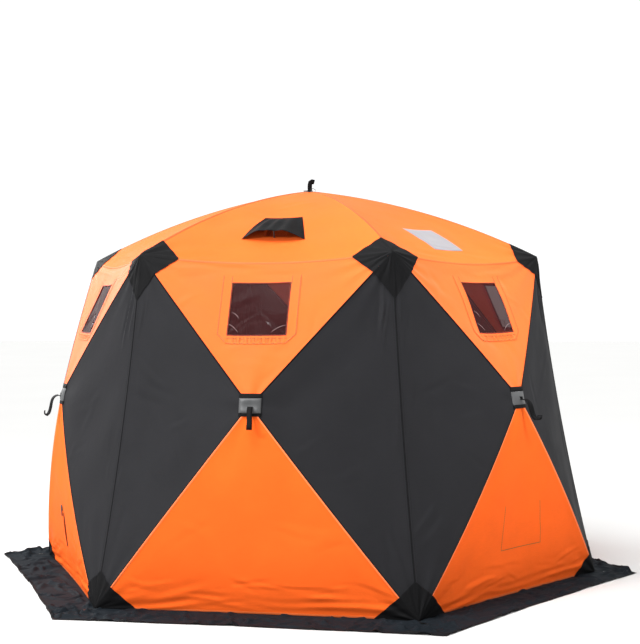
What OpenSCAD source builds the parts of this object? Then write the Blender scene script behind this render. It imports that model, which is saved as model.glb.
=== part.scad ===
// Pop-up ice fishing hut: six quilted cloth walls on crossed bowed poles, a
// hub pushed out at the middle of every wall, a low domed roof, a ground skirt.
// Millimetres, +Z up, origin on the ground under the peak, wall 1 faces -Y.

/* [Overall size] */
// radius of the wall corners on the ground
foot_radius = 1535; // [1250:5:1900]
// radius of the roof corners
top_radius = 1235; // [1000:5:1500]
// height of the roof corners
eave_height = 1676; // [1400:2:2000]
// height of the peak
peak_height = 2050; // [1750:5:2400]
// reach of the skirt beyond a wall corner
skirt_reach = 255; // [150:5:400]

/* [Pushed-out hubs] */
// how far a hub stands out from a straight wall
hub_push = 186.6; // [80:1:260]
// height of the wall hubs
hub_height = 967; // [800:1:1150]

/* [Bow of the seams] */
// rise of a roof seam over its chord
roof_bow = 58; // [0:1:120]
// outward bow of the upper crossed seams
upper_bow = 8; // [0:1:40]
// outward bow of the lower crossed seams
lower_bow = 28; // [0:1:60]
// inward pull of the corner seams
corner_pull = 27; // [0:1:60]
// sag of the eaves
eave_sag = 46; // [0:1:90]
// inward pull of the hems
hem_pull = 15; // [0:1:40]

/* [Cloth and poles] */
// quilted wall and roof cloth
cloth = 3; // [2:0.5:6]
// skirt cloth
skirt_cloth = 2; // [1.5:0.5:3]
// patches and webbing
patch_cloth = 2; // [1:0.5:3]
// radius of a pole
pole_r = 5.5; // [4:0.25:8]
// radius of the joint pieces the poles push into
joint_r = 24; // [18:1:32]

/* [Windows] */
// width of a window
window_w = 285; // [200:5:400]
// height of a window
window_h = 265; // [180:5:320]
// top of a window below the eave line
window_top = 157; // [120:1:220]

/* [Vents] */
// width of a vent hood at its top edge
hood_top_w = 190; // [140:5:260]
// width of a vent hood at its open lower edge
hood_low_w = 320; // [240:5:420]
// height of the lower edge above the gore's flat plane
hood_lift = 56; // [40:1:90]
// lower edge of a hood above the eave line, along the gore
hood_y = 205; // [150:5:260]
// length of a hood from its lower edge up
hood_len = 260; // [200:5:300]

/* [Skirt eyelets] */
// distance of an eyelet beyond the wall corner
eyelet_out = 55; // [40:1:120]
// hole of an eyelet
eyelet_r = 6; // [4:0.5:9]

/* [Door] */
// zipped slit in the rear corner panel
door_zip_h = 1330; // [900:10:1400]

/* [Hidden] */
$fn = 48;
n = 8;
top_ap = top_radius * cos(30);
foot_ap = foot_radius * cos(30);
hub_radius = hub_push + top_ap + (foot_ap - top_ap) * (eave_height - hub_height) / eave_height;
rise = peak_height - eave_height;
seam_slope = atan(rise / top_radius);
gore_slope = atan(rise / top_ap);
upper_lean = atan((hub_radius - top_ap) / (eave_height - hub_height));
lower_lean = atan((hub_radius - foot_ap) / hub_height);
corner_lean = atan((foot_radius - top_radius) / eave_height);
skirt_radius = foot_radius + skirt_reach;
eyelet_ring_r = foot_radius + eyelet_out;
// cloth offsets that keep every panel its thickness at the shared points
g_r = cos(30) * sin(gore_slope);
g_z = cos(gore_slope);
u_r = cos(30) * cos(upper_lean);
u_z = sin(upper_lean);
top_a = (u_z - g_z) / (g_r * u_z - g_z * u_r);
top_b = (g_r - u_r) / (g_r * u_z - g_z * u_r);
peak_k = 1 / cos(gore_slope);
foot_k = 1 / (cos(30) * cos(lower_lean));
hub_k = (1 / cos(upper_lean) + 1 / cos(lower_lean)) / 2;

// ---- places -------------------------------------------------------------
function pol(r, a, z) = [r * cos(a), r * sin(a), z];
function ca(i) = -120 + 60 * i;
function wa(j) = -90 + 60 * j;
function peak(o) = [0, 0, peak_height + peak_k * o];
function top(i, o) = pol(top_radius + top_a * o, ca(i), eave_height + top_b * o);
function foot(i, o) = pol(foot_radius + foot_k * o, ca(i), 0);
function hub(j, o) = pol(hub_radius + hub_k * o, wa(j), hub_height);
function w_roof(i) = pol(roof_bow * sin(seam_slope), ca(i), roof_bow * cos(seam_slope));
function w_eave(j) = [0, 0, -eave_sag];
function w_up(j) = pol(upper_bow, wa(j), 0);
function w_low(j) = pol(lower_bow, wa(j), 0);
function w_corner(i) = pol(-corner_pull, ca(i), 0);
function w_hem(j) = pol(-hem_pull, wa(j), 0);

module at_wall(j) rotate([0, 0, 60 * j]) children();
module on_gore(j)
    at_wall(j) translate([0, -top_ap, eave_height]) rotate([gore_slope, 0, 0]) children();
module on_upper(j)
    at_wall(j) translate([0, -top_ap, eave_height]) rotate([90 - upper_lean, 0, 0]) children();
module on_lower(j)
    at_wall(j) translate([0, -foot_ap, 0]) rotate([90 + lower_lean, 0, 0]) children();

// ---- curved three-sided cloth panels ---------------------------------------
function surf(A, B, C, p, q, r) = [for (a = [0 : n]) for (b = [0 : n - a])
    let (u = a / n, v = b / n, w = 1 - u - v)
    u * A + v * B + w * C + 4 * u * v * p + 4 * v * w * q + 4 * w * u * r];
function ix(a, b) = a * (n + 1) - a * (a - 1) / 2 + b;
tri_n = (n + 1) * (n + 2) / 2;
rim = concat([for (a = [n : -1 : 1]) ix(a, n - a)], [for (b = [n : -1 : 1]) ix(0, b)],
    [for (a = [0 : n - 1]) ix(a, 0)]);
faces_out = concat([for (a = [0 : n - 1]) for (b = [0 : n - 1 - a]) [ix(a, b), ix(a, b + 1), ix(a + 1, b)]],
    [for (a = [0 : n - 2]) for (b = [0 : n - 2 - a]) [ix(a + 1, b), ix(a, b + 1), ix(a + 1, b + 1)]]);
faces_in = [for (f = faces_out) [tri_n + f[0], tri_n + f[2], tri_n + f[1]]];
function key(p) = p[2] + 0.013 * p[0] + 0.0071 * p[1];
function rim_faces(pts) = [for (k = [0 : len(rim) - 1]) for (s = [0, 1])
    let (p = rim[k], q = rim[(k + 1) % len(rim)], P = p + tri_n, Q = q + tri_n)
    key(pts[p]) < key(pts[q]) ? (s == 0 ? [p, q, Q] : [p, Q, P]) : (s == 0 ? [p, q, P] : [q, Q, P])];

// k: 0 roof gore, 1 upper wall, 2 lower wall, 3 left side, 4 right side
function panel_pts(k, j, o) =
    k == 0 ? surf(top(j, o), top(j + 1, o), peak(o), w_eave(j), w_roof(j + 1), w_roof(j)) :
    k == 1 ? surf(hub(j, o), top(j + 1, o), top(j, o), w_up(j), w_eave(j), w_up(j)) :
    k == 2 ? surf(foot(j, o), foot(j + 1, o), hub(j, o), w_hem(j), w_low(j), w_low(j)) :
    k == 3 ? surf(top(j, o), foot(j, o), hub(j, o), w_corner(j), w_low(j), w_up(j)) :
    surf(top(j + 1, o), hub(j, o), foot(j + 1, o), w_up(j), w_low(j), w_corner(j + 1));
module shell(k, j, low, high) {
    pts = concat(panel_pts(k, j, high), panel_pts(k, j, low));
    polyhedron(pts, concat(faces_out, faces_in, rim_faces(pts)), convexity = 4);
}

// ---- poles: arcs from joint to joint ---------------------------------------
function unit(v) = v / norm(v);
module arc_pole(A, B, w, r, cut_a, cut_b) {
    c = norm(B - A);
    ex = (B - A) / c;
    side = w - ex * (w * ex);
    s = norm(side);
    ey = side / s;
    ez = cross(ex, ey);
    M = (A + B) / 2;
    R = c * c / (8 * s) + s / 2;
    h = asin(c / 2 / R);
    da = cut_a * 180 / PI / R;
    db = cut_b * 180 / PI / R;
    multmatrix([[ex[0], ey[0], ez[0], M[0]], [ex[1], ey[1], ez[1], M[1]], [ex[2], ey[2], ez[2], M[2]]])
        translate([0, s - R, 0])
            rotate([0, 0, 90 - h + db])
                rotate_extrude(angle = 2 * h - da - db, convexity = 2, $fn = 1440)
                    translate([R, 0])
                        circle(r, $fn = 36);
}
// straight socket at the A end, along the pole there
module socket(A, B, w, start) {
    c = norm(B - A);
    ex = (B - A) / c;
    side = w - ex * (w * ex);
    s = norm(side);
    ey = side / s;
    h = asin(c / 2 / (c * c / (8 * s) + s / 2));
    d = ex * cos(h) + ey * sin(h);
    x = cross(ex, ey);
    y = cross(d, x);
    multmatrix([[x[0], y[0], d[0], A[0]], [x[1], y[1], d[1], A[1]], [x[2], y[2], d[2], A[2]]])
        translate([0, 0, start])
            cylinder(r = pole_r + 0.6, h = 60);
}
// joint centres: tangent to the cloth's inside, with a little for the bows
joint_o = cloth + joint_r + 0.3;
top_in = joint_o + 4 * joint_r / top_radius * eave_sag;
foot_in = joint_o + 4 * joint_r * (corner_pull / eave_height + hem_pull / foot_radius);
hub_in = hub_k * cloth + (joint_r + 0.35) / cos(max(upper_lean, abs(lower_lean)));
roof_hub_r = 33;
rs = roof_hub_r / top_ap;
wz = roof_bow * cos(seam_slope);
roof_drop = rs * rise - 4 * rs * (1 - rs) * wz + rs * rs * eave_sag;
roof_hub_z = peak_height - peak_k * cloth - max(0, roof_drop) - 13.4;
function top_c(i) = top(i, -top_in);
function foot_c(i) = pol(foot_radius - foot_k * foot_in, ca(i), joint_r);
function hub_c(j) = pol(hub_radius - hub_in, wa(j), hub_height);
function roof_c() = [0, 0, roof_hub_z];
bow_in = joint_r - pole_r - 2;
function wall_w(j) = pol(1, wa(j), 0);
function roof_w(i) = pol(sin(seam_slope), ca(i), cos(seam_slope)) * (roof_bow + 14);
function up_w(j) = wall_w(j) * (upper_bow + bow_in);
function low_w(j) = wall_w(j) * (lower_bow + bow_in);

// ---- straps: a bent strip of even thickness ------------------------------------
function nrm(a, b) = let (d = b - a) [-d[1], d[0]] / norm(d);
function side_of(p, k, h) = let (m = len(p) - 1,
    a = k == 0 ? nrm(p[0], p[1]) : nrm(p[k - 1], p[k]),
    b = k == m ? nrm(p[m - 1], p[m]) : nrm(p[k], p[k + 1]),
    c = (a + b) / 2)
    p[k] + c * h / (c * c);
module strip(p, t, w)
    translate([-w / 2, 0, 0]) rotate([90, 0, 90]) linear_extrude(w)
        polygon(concat([for (k = [0 : len(p) - 1]) side_of(p, k, t / 2)],
            [for (k = [len(p) - 1 : -1 : 0]) side_of(p, k, -t / 2)]));

// ================================ pieces ========================================
module roof_gore(j) {
    color("#f79a55")
        difference() {
            shell(0, j, -cloth, 0);
            if (j % 3 == 0)
                vent_hole(j, 0);
        }
}
module upper_wall(j) {
    color("#f2883e")
        difference() {
            shell(1, j, -cloth, 0);
            on_upper(j) translate([0, -window_top - window_h / 2, 0])
                cube([window_w, window_h, 90], center = true);
        }
}
module lower_wall(j) {
    color("#ee7d36")
        difference() {
            shell(2, j, -cloth, 0);
            if (j == 5)
                port_hole(0);
        }
}
port_x = 25;
port_y = 264;
port_w = 8;
port_h = 166;
module port_hole(gap)
    on_lower(5) translate([port_x, port_y, 20]) cube([port_w - gap, port_h - gap, 120], center = true);
module side_panel(i) {
    color("#2f2f31")
        difference() {
            union() {
                shell(3, i, -cloth, 0);
                shell(4, i - 1, -cloth, 0);
            }
            if (i == 4)
                door_slot(14, door_zip_h);
        }
}
module door_slot(w, h)
    rotate([0, 0, ca(4)]) translate([(foot_radius + top_radius) / 2, 0, 70 + h / 2])
        cube([abs(foot_radius - top_radius) + 160, w, h], center = true);

module window_panes() {
    color([0.4, 0.16, 0.15, 0.55])
        for (j = [0 : 5])
            intersection() {
                shell(1, j, -cloth / 2 - 0.6, -cloth / 2 + 0.6);
                on_upper(j) translate([0, -window_top - window_h / 2, 0])
                    cube([window_w - 0.5, window_h - 0.5, 90], center = true);
            }
}
module window_frames() {
    color("#d9722c")
        for (j = [0 : 5])
            intersection() {
                shell(1, j, 0.2, 1.4);
                on_upper(j) difference() {
                    translate([0, -window_top - window_h / 2 - 12, 0])
                        cube([window_w + 50, window_h + 70, 90], center = true);
                    translate([0, -window_top - window_h / 2, 0])
                        cube([window_w, window_h, 100], center = true);
                }
            }
}

module vent_hoods() {
    color("#3a3a3c")
        for (j = [0, 3])
            difference() {
                on_gore(j) difference() {
                    hood_body(0, hood_y, hood_y + hood_len, 0);
                    hood_body(patch_cloth, hood_y - 8, hood_y + hood_len - patch_cloth, 1);
                }
                shell(0, j, -140, 0.2);
            }
}
module hood_body(in, y0, y1, z1) {
    a = hood_top_w / 2 - in;
    b = hood_low_w / 2 - in;
    zt = 46 - in;
    zb = hood_lift - in;
    polyhedron([[-a, y1, zt], [a, y1, zt], [b, y0, zb], [-b, y0, zb],
        [-a, y1, -60 - z1], [a, y1, -60 - z1], [b, y0, -60 - z1], [-b, y0, -60 - z1]],
        [[0, 1, 2, 3], [7, 6, 5, 4], [0, 4, 5, 1], [1, 5, 6, 2], [2, 6, 7, 3], [3, 7, 4, 0]], convexity = 2);
}
module vent_hole(j, gap)
    on_gore(j) translate([0, hood_y + 100, 20]) cube([120 - gap, 120 - gap, 120], center = true);
module vent_meshes() {
    color("#5a1f1f")
        for (j = [0, 3])
            intersection() {
                shell(0, j, -cloth / 2 - 0.5, -cloth / 2 + 0.5);
                vent_hole(j, 0.5);
            }
}
module vent_props() {
    color("#1e1e20")
        for (j = [0, 3])
            difference() {
                on_gore(j) translate([0, hood_y + 20, -30])
                    cylinder(r = 4, h = 30 + hood_lift - patch_cloth - 1.1);
                shell(0, j, -140, 0.2);
            }
}
module roof_patch() {
    color("#c9c9cd")
        intersection() {
            shell(0, 1, 0.2, 1.4);
            on_gore(1) translate([-35, 215, 0]) cube([235, 220, 120], center = true);
        }
}
module peak_loop() {
    color("#1d1d1f")
        translate([0, 0, peak_height + 3.4]) rotate([0, 0, 90])
            strip([[-12, 0], [-6, 0], [-3, 4], [-5, 30], [-3, 56], [4, 61], [22, 59], [34, 52]], 2, 22);
}

module hub_patches() {
    color("#8c8c8e")
        for (j = [0 : 5])
            intersection() {
                hub_shells(j, 0.2, 0.2 + patch_cloth);
                at_wall(j) translate([0, -hub_radius, hub_height]) cube([105, 160, 66], center = true);
            }
}
module hub_shells(j, a, b)
    union()
        for (k = [1 : 4])
            shell(k, j, a, b);
module hub_webbing() {
    color("#1d1d1f")
        for (j = [0 : 5])
            for (z = [[44.2, 22], [-41.2, 16]])
                intersection() {
                    hub_shells(j, 0.2, 0.8 + patch_cloth);
                    at_wall(j) translate([0, -hub_radius, hub_height + z[0]])
                        cube([108, 160, z[1]], center = true);
                }
}
module pull_straps() {
    color("#141416")
        for (j = [0 : 5])
            at_wall(j)
                translate([0, -hub_radius - hub_k * (0.2 + patch_cloth) - 1.5, hub_height])
                    mirror([0, 1, 0])
                        strip([[0, 8], [0, -8], [4, -11], [16, -4], [31, -9], [43, -22], [50, -44],
                            [55, -70], [63, -94], [74, -105], [84, -98], [84, -82]], 1.8, 25);
}

module corner_patches() {
    color("#2a2a2c") {
        for (i = [0 : 5]) {
            top_patch(i);
            bottom_patch(i);
        }
        intersection() {
            union()
                for (j = [0 : 5])
                    shell(0, j, 0.2, 0.2 + patch_cloth);
            translate([0, 0, peak_height]) cylinder(r = 34, h = 60, center = true);
        }
    }
}
module patch_shells(list, i)
    union()
        for (k = list)
            shell(k, k == 4 ? i + 5 : i, 0.2, 0.2 + patch_cloth);
module top_patch(i)
    intersection() {
        union() {
            patch_shells([0, 1, 3, 4], i);
            patch_shells([0, 1], i + 5);
        }
        rotate([0, 0, ca(i)]) translate([top_radius, 0, eave_height])
            rotate([0, 50, 0]) translate([0, 0, -120])
                linear_extrude(260)
                    polygon([[-118, 0], [-58, -98], [20, -152], [92, -62], [160, 0], [92, 62], [20, 152],
                        [-58, 98]]);
    }
module bottom_patch(i)
    intersection() {
        union() {
            patch_shells([2, 3, 4], i);
            patch_shells([2], i + 5);
        }
        rotate([0, 0, ca(i)]) translate([foot_radius - 200, 0, 0]) rotate([90, 0, 90])
            linear_extrude(400)
                polygon([[-176, skirt_cloth + 0.4], [176, skirt_cloth + 0.4], [74, 104], [0, 172],
                    [-74, 104]]);
    }

module ground_skirt() {
    color("#3b3b3d")
        difference() {
            linear_extrude(skirt_cloth)
                difference() {
                    polygon([for (j = [0 : 5]) for (t = [0 : 0.25 : 0.99])
                        let (a = skirt_pt(j), b = skirt_pt(j + 1))
                        a + (b - a) * t - 4 * t * (1 - t) * 18 * [cos(wa(j)), sin(wa(j))]]);
                    polygon([for (j = [0 : 5]) for (k = [0 : n - 1]) hem_pt(j, k / n)]);
                }
            for (i = [0 : 5])
                rotate([0, 0, ca(i)]) translate([eyelet_ring_r, 0, -1]) cylinder(r = eyelet_r + 2, h = 20);
        }
}
function skirt_pt(j) = [skirt_radius * cos(ca(j)), skirt_radius * sin(ca(j))];
function hem_pt(j, t) = let (a = foot(j, 0.45), b = foot(j + 1, 0.45), p = a + (b - a) * t
    + 4 * t * (1 - t) * w_hem(j)) [p[0], p[1]];
module skirt_eyelets() {
    color("#b9a46a")
        for (i = [0 : 5])
            rotate([0, 0, ca(i)]) translate([eyelet_ring_r, 0, 0])
                rotate_extrude()
                    polygon([[eyelet_r, 0], [eyelet_r + 1.8, 0], [eyelet_r + 1.8, skirt_cloth + 0.2],
                        [eyelet_r + 6, skirt_cloth + 0.2], [eyelet_r + 6, skirt_cloth + 1],
                        [eyelet_r + 4, skirt_cloth + 1.6], [eyelet_r, skirt_cloth + 1.6]]);
}

module port_flap() {
    color("#e0702c")
        intersection() {
            shell(2, 5, 0.2, 1.4);
            on_lower(5) translate([port_x + 22, port_y, 20]) cube([30, port_h + 30, 120], center = true);
        }
}
module inner_pocket() {
    color("#c9642a")
        intersection() {
            shell(2, 1, -cloth - 1.6, -cloth - 0.2);
            on_lower(1) translate([35, 344, 0]) cube([330, 215, 120], center = true);
        }
}
module zips() {
    color("#1a1a1c") {
        intersection() {
            shell(2, 5, -cloth / 2 - 0.8, -cloth / 2 + 0.8);
            port_hole(0.5);
        }
        intersection() {
            union() {
                shell(3, 4, -cloth / 2 - 0.8, -cloth / 2 + 0.8);
                shell(4, 3, -cloth / 2 - 0.8, -cloth / 2 + 0.8);
            }
            door_slot(13.5, door_zip_h - 0.5);
        }
    }
}

module roof_poles() {
    color("#c9ccce")
        for (i = [0 : 5])
            arc_pole(roof_c(), top_c(i), roof_w(i), pole_r, 16, 9);
}
module wall_poles() {
    color("#c9ccce")
        for (j = [0 : 5])
            for (i = [j, j + 1]) {
                arc_pole(hub_c(j), top_c(i), up_w(j), pole_r, 10, 9);
                arc_pole(hub_c(j), foot_c(i), low_w(j), pole_r, 10, 9);
            }
}
module roof_hub() {
    color("#2b2b2d")
        difference() {
            translate([0, 0, roof_hub_z - 13]) cylinder(r = roof_hub_r, h = 26);
            for (i = [0 : 5])
                socket(roof_c(), top_c(i), roof_w(i), 15.6);
        }
}
module wall_hubs() {
    color("#2b2b2d")
        for (j = [0 : 5])
            difference() {
                translate(hub_c(j)) rotate([0, 0, wa(j) + 180]) sphere(r = joint_r);
                for (i = [j, j + 1]) {
                    socket(hub_c(j), top_c(i), up_w(j), 9.6);
                    socket(hub_c(j), foot_c(i), low_w(j), 9.6);
                }
            }
}
module corner_joints() {
    color("#2b2b2d")
        for (i = [0 : 5]) {
            difference() {
                translate(top_c(i)) rotate([0, 0, ca(i)]) sphere(r = joint_r);
                socket(top_c(i), roof_c(), roof_w(i), 8.6);
                socket(top_c(i), hub_c(i), up_w(i), 8.6);
                socket(top_c(i), hub_c(i + 5), up_w(i + 5), 8.6);
            }
            difference() {
                translate(foot_c(i)) rotate([0, 0, ca(i)]) union() {
                    sphere(r = joint_r);
                    translate([0, 0, -joint_r]) cylinder(r = joint_r, h = joint_r);
                }
                socket(foot_c(i), hub_c(i), low_w(i), 8.6);
                socket(foot_c(i), hub_c(i + 5), low_w(i + 5), 8.6);
            }
        }
}

roof_gore(0);  // roof_gore_1
roof_gore(1);  // roof_gore_2
roof_gore(2);  // roof_gore_3
roof_gore(3);  // roof_gore_4
roof_gore(4);  // roof_gore_5
roof_gore(5);  // roof_gore_6
upper_wall(0);  // upper_wall_1
upper_wall(1);  // upper_wall_2
upper_wall(2);  // upper_wall_3
upper_wall(3);  // upper_wall_4
upper_wall(4);  // upper_wall_5
upper_wall(5);  // upper_wall_6
lower_wall(0);  // lower_wall_1
lower_wall(1);  // lower_wall_2
lower_wall(2);  // lower_wall_3
lower_wall(3);  // lower_wall_4
lower_wall(4);  // lower_wall_5
lower_wall(5);  // lower_wall_6
side_panel(0);  // side_panel_1
side_panel(1);  // side_panel_2
side_panel(2);  // side_panel_3
side_panel(3);  // side_panel_4
side_panel(4);  // side_panel_5
side_panel(5);  // side_panel_6
window_panes();
window_frames();
vent_hoods();
vent_meshes();
vent_props();
roof_patch();
peak_loop();
hub_patches();
hub_webbing();
pull_straps();
corner_patches();
ground_skirt();
skirt_eyelets();
zips();
port_flap();
inner_pocket();
roof_poles();
wall_poles();
roof_hub();
wall_hubs();
corner_joints();
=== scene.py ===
"""A pop-up ice fishing hut: six walls of orange and black cloth, each pushed out by a cross of poles.

The cloth is cut flat as triangles, hung between the points that hold it, and given its folds in place."""

import math

import bmesh
import bpy
import numpy as np
from bpy.props import FloatProperty, FloatVectorProperty, PointerProperty
from mathutils import Matrix, Vector
from mathutils.bvhtree import BVHTree


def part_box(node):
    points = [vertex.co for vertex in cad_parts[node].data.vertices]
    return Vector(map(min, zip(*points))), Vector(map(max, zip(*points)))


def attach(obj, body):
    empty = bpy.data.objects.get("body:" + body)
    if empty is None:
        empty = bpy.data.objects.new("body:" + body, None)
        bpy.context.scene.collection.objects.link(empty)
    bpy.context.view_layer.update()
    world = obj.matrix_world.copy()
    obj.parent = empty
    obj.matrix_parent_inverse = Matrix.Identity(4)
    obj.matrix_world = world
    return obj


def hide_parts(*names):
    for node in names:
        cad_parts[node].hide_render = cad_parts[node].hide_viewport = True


bl_info = {
    "name": "Ice fishing hut",
    "version": (1, 0, 0),
    "blender": (4, 5, 0),
    "location": "View3D > Sidebar > Ice Hut",
    "description": "Dresses the frame of a pop-up ice fishing hut in its cloth, windows, straps and skirt",
    "category": "Object",
}

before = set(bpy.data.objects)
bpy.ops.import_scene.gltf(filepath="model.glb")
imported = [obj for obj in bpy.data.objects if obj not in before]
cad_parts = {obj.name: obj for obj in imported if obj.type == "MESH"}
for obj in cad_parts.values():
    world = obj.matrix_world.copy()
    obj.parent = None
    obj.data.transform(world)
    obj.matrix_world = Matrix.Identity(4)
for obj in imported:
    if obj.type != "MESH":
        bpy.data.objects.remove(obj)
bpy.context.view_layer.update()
skirt_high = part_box("ground_skirt")[1]

WALLS = range(6)
MM = 0.001


def linear(code):
    """An sRGB hex colour as the linear values that shaders take."""
    parts = [int(code[k : k + 2], 16) / 255 for k in (1, 3, 5)]
    return [c / 12.92 if c <= 0.04045 else ((c + 0.055) / 1.055) ** 2.4 for c in parts]


def metres(name, description, default):
    """A size in metres that a user may change."""
    return FloatProperty(name=name, description=description, default=default, unit="LENGTH")


def dye(name, description, code):
    """A colour that a user may change."""
    default = linear(code)
    return FloatVectorProperty(
        name=name, description=description, default=default, subtype="COLOR", min=0, max=1
    )


class HutSizes(bpy.types.PropertyGroup):
    """Where the cloth is held, and how far it bows between."""

    foot_radius: metres("Foot radius", "From the centre to a foot of the walls", 1.535)
    top_radius: metres("Top radius", "From the centre to a top corner", 1.235)
    eave_height: metres("Eave height", "Height of the top corners", 1.676)
    peak_height: metres("Peak height", "Height of the roof's middle", 2.05)
    hub_radius: metres("Hub radius", "From the centre to the hub of a wall", 1.36605)
    hub_height: metres("Hub height", "Height of the wall hubs", 0.967)
    roof_bow: metres("Roof bow", "How far the roof seams arch up", 0.058)
    eave_sag: metres("Eave sag", "How far an eave hangs at its middle", 0.046)
    upper_bow: metres("Upper bow", "How far the seams above a hub bow out", 0.008)
    lower_bow: metres("Lower bow", "How far the seams below a hub bow out", 0.028)
    corner_pull: metres("Corner pull", "How far a corner seam is drawn in", 0.027)
    hem_pull: metres("Hem pull", "How far a hem is drawn in", 0.015)
    skirt_radius: metres("Skirt radius", "From the centre to a corner of the skirt", skirt_high.x)
    window_width: metres("Window width", "Width of the clear window film", 0.285)
    window_height: metres("Window height", "Height of the clear window film", 0.290)
    window_top: metres("Window top", "From the eave down to the window", 0.123)
    slack: FloatProperty(
        name="Slack", description="Depth of the folds, 1 as pitched", default=1.0, min=0.0, max=2.0
    )


class HutColours(bpy.types.PropertyGroup):
    """The dyed colours of the cloths and fittings."""

    orange: dye("Orange cloth", "Roof and wall cloth", "#F46524")
    black: dye("Black cloth", "Side panels and skirt", "#222224")
    patch: dye("Patch cloth", "Corner patches and vent hoods", "#131314")
    webbing: dye("Webbing", "Straps and bindings", "#0F0F10")
    film: dye("Window film", "Tint of the windows", "#33191A")
    silver: dye("Hub patch", "Grey cloth over the hubs", "#454647")
    pale: dye("Roof patch", "Pale grey patch on the roof", "#7E7C80")


# ---------------------------------------------------------------- materials


def connect(tree, node, links):
    """Links outputs of earlier nodes to a node's sockets."""
    for socket, source in dict(links).items():
        tree.links.new(source, node.inputs[socket])


def add_node(tree, kind, values=(), links=(), **settings):
    """Adds one node, sets its fields and socket values, and links outputs of earlier nodes into it."""
    node = tree.nodes.new(kind)
    for name, value in settings.items():
        setattr(node, name, value)
    for socket, value in dict(values).items():
        node.inputs[socket].default_value = value
    connect(tree, node, links)
    return node


def new_material(name, values):
    """A material, its tree, its shader with some values set, and the coordinates that its patterns use."""
    material = bpy.data.materials.new(name)
    material.use_nodes = True
    tree = material.node_tree
    tree.nodes.clear()
    shader = add_node(tree, "ShaderNodeBsdfPrincipled", values)
    add_node(tree, "ShaderNodeOutputMaterial", links={"Surface": shader.outputs["BSDF"]})
    coords = add_node(tree, "ShaderNodeTexCoord")
    return material, tree, shader, coords.outputs


def shaded(colour, amount=1.0):
    """The same colour, lighter or darker by a factor, with full opacity."""
    return [min(1.0, c * amount) for c in colour[:3]] + [1.0]


def set_ramp(ramp, stops):
    """Gives a colour ramp its places and colours."""
    for element, (place, colour) in zip(ramp.color_ramp.elements, stops):
        element.position = place
        element.color = colour


def oxford_cloth(name, colour, sheen, rough, thread=2.6, depth=0.12, blotch=0.06, gloss_level=0.25, glow=0.0):
    """Woven polyester oxford with a waterproof coat: a fine basket weave that is faintly uneven, matt, and
    paler where it is seen edge on. The real threads are 0.5 mm apart, too fine to show on a hut, so they are
    drawn wider, in millimetres. Glow is the share of daylight that comes through."""
    values = {"Specular IOR Level": gloss_level, "Sheen Weight": sheen, "Sheen Roughness": 0.4}
    material, tree, shader, coords = new_material(name, values)
    flat = {0: coords["UV"]}
    threads = add_node(tree, "ShaderNodeVectorMath", {1: (1000 / thread,) * 3}, flat, operation="MULTIPLY")
    parts = add_node(tree, "ShaderNodeSeparateXYZ", links={0: threads.outputs[0]})
    warp = add_node(tree, "ShaderNodeMath", {1: 0.5}, {0: parts.outputs["X"]}, operation="PINGPONG")
    weft = add_node(tree, "ShaderNodeMath", {1: 0.5}, {0: parts.outputs["Y"]}, operation="PINGPONG")
    crossing = {0: warp.outputs[0], 1: weft.outputs[0]}
    weave = add_node(tree, "ShaderNodeMath", links=crossing, operation="MULTIPLY")
    # Slubs: thicker threads that run a few centimetres along the weft.
    drawn = add_node(tree, "ShaderNodeVectorMath", {1: (24.0, 160.0, 1.0)}, flat, operation="MULTIPLY")
    slub = {"Scale": 1.0, "Detail": 2.0, "Roughness": 0.6}
    slubs = add_node(tree, "ShaderNodeTexNoise", slub, {"Vector": drawn.outputs[0]})
    # Broad unevenness of the dye and the coat, a hand or two across.
    hand = {"Scale": 5.5, "Detail": 3.0, "Roughness": 0.55}
    broad = add_node(tree, "ShaderNodeTexNoise", hand, {"Vector": coords["UV"]})
    tone = add_node(tree, "ShaderNodeMath", {1: 0.35}, {0: slubs.outputs["Fac"]}, operation="MULTIPLY")
    mixed = {0: broad.outputs["Fac"], 2: tone.outputs[0]}
    tone = add_node(tree, "ShaderNodeMath", {1: 0.65}, mixed, operation="MULTIPLY_ADD")
    dyed = add_node(tree, "ShaderNodeValToRGB", links={"Fac": tone.outputs[0]})
    set_ramp(dyed, ((0.3, shaded(colour, 1 - blotch)), (0.7, shaded(colour, 1 + blotch))))
    worn = {"From Min": 0.3, "From Max": 0.7, "To Min": rough - 0.05, "To Max": rough + 0.06}
    gloss = add_node(tree, "ShaderNodeMapRange", worn, {"Value": broad.outputs["Fac"]})
    # Soft handling creases, finger wide, under the weave.
    finger = {"Scale": 17.0, "Detail": 2.0, "Roughness": 0.5, "Distortion": 0.8}
    handled = add_node(tree, "ShaderNodeTexNoise", finger, {"Vector": coords["UV"]})
    raised = {0: slubs.outputs["Fac"], 2: weave.outputs[0]}
    relief = add_node(tree, "ShaderNodeMath", {1: 0.35}, raised, operation="MULTIPLY_ADD")
    fine = add_node(
        tree, "ShaderNodeBump", {"Strength": depth, "Distance": 0.0006}, {"Height": relief.outputs[0]}
    )
    under = {"Height": handled.outputs["Fac"], "Normal": fine.outputs[0]}
    bump = add_node(tree, "ShaderNodeBump", {"Strength": 0.22, "Distance": 0.004}, under)
    faces = {"Base Color": dyed.outputs["Color"], "Roughness": gloss.outputs[0], "Normal": bump.outputs[0]}
    connect(tree, shader, faces)
    if glow:
        # Thin cloth lets part of the daylight through, so that the inside glows in its colour.
        lit = {"Color": dyed.outputs["Color"], "Normal": bump.outputs[0]}
        through = add_node(tree, "ShaderNodeBsdfTranslucent", links=lit)
        layers = {1: shader.outputs["BSDF"], 2: through.outputs["BSDF"]}
        both = add_node(tree, "ShaderNodeMixShader", {0: glow}, layers)
        output = next(node for node in tree.nodes if node.type == "OUTPUT_MATERIAL")
        connect(tree, output, {"Surface": both.outputs[0]})
    return material


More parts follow.
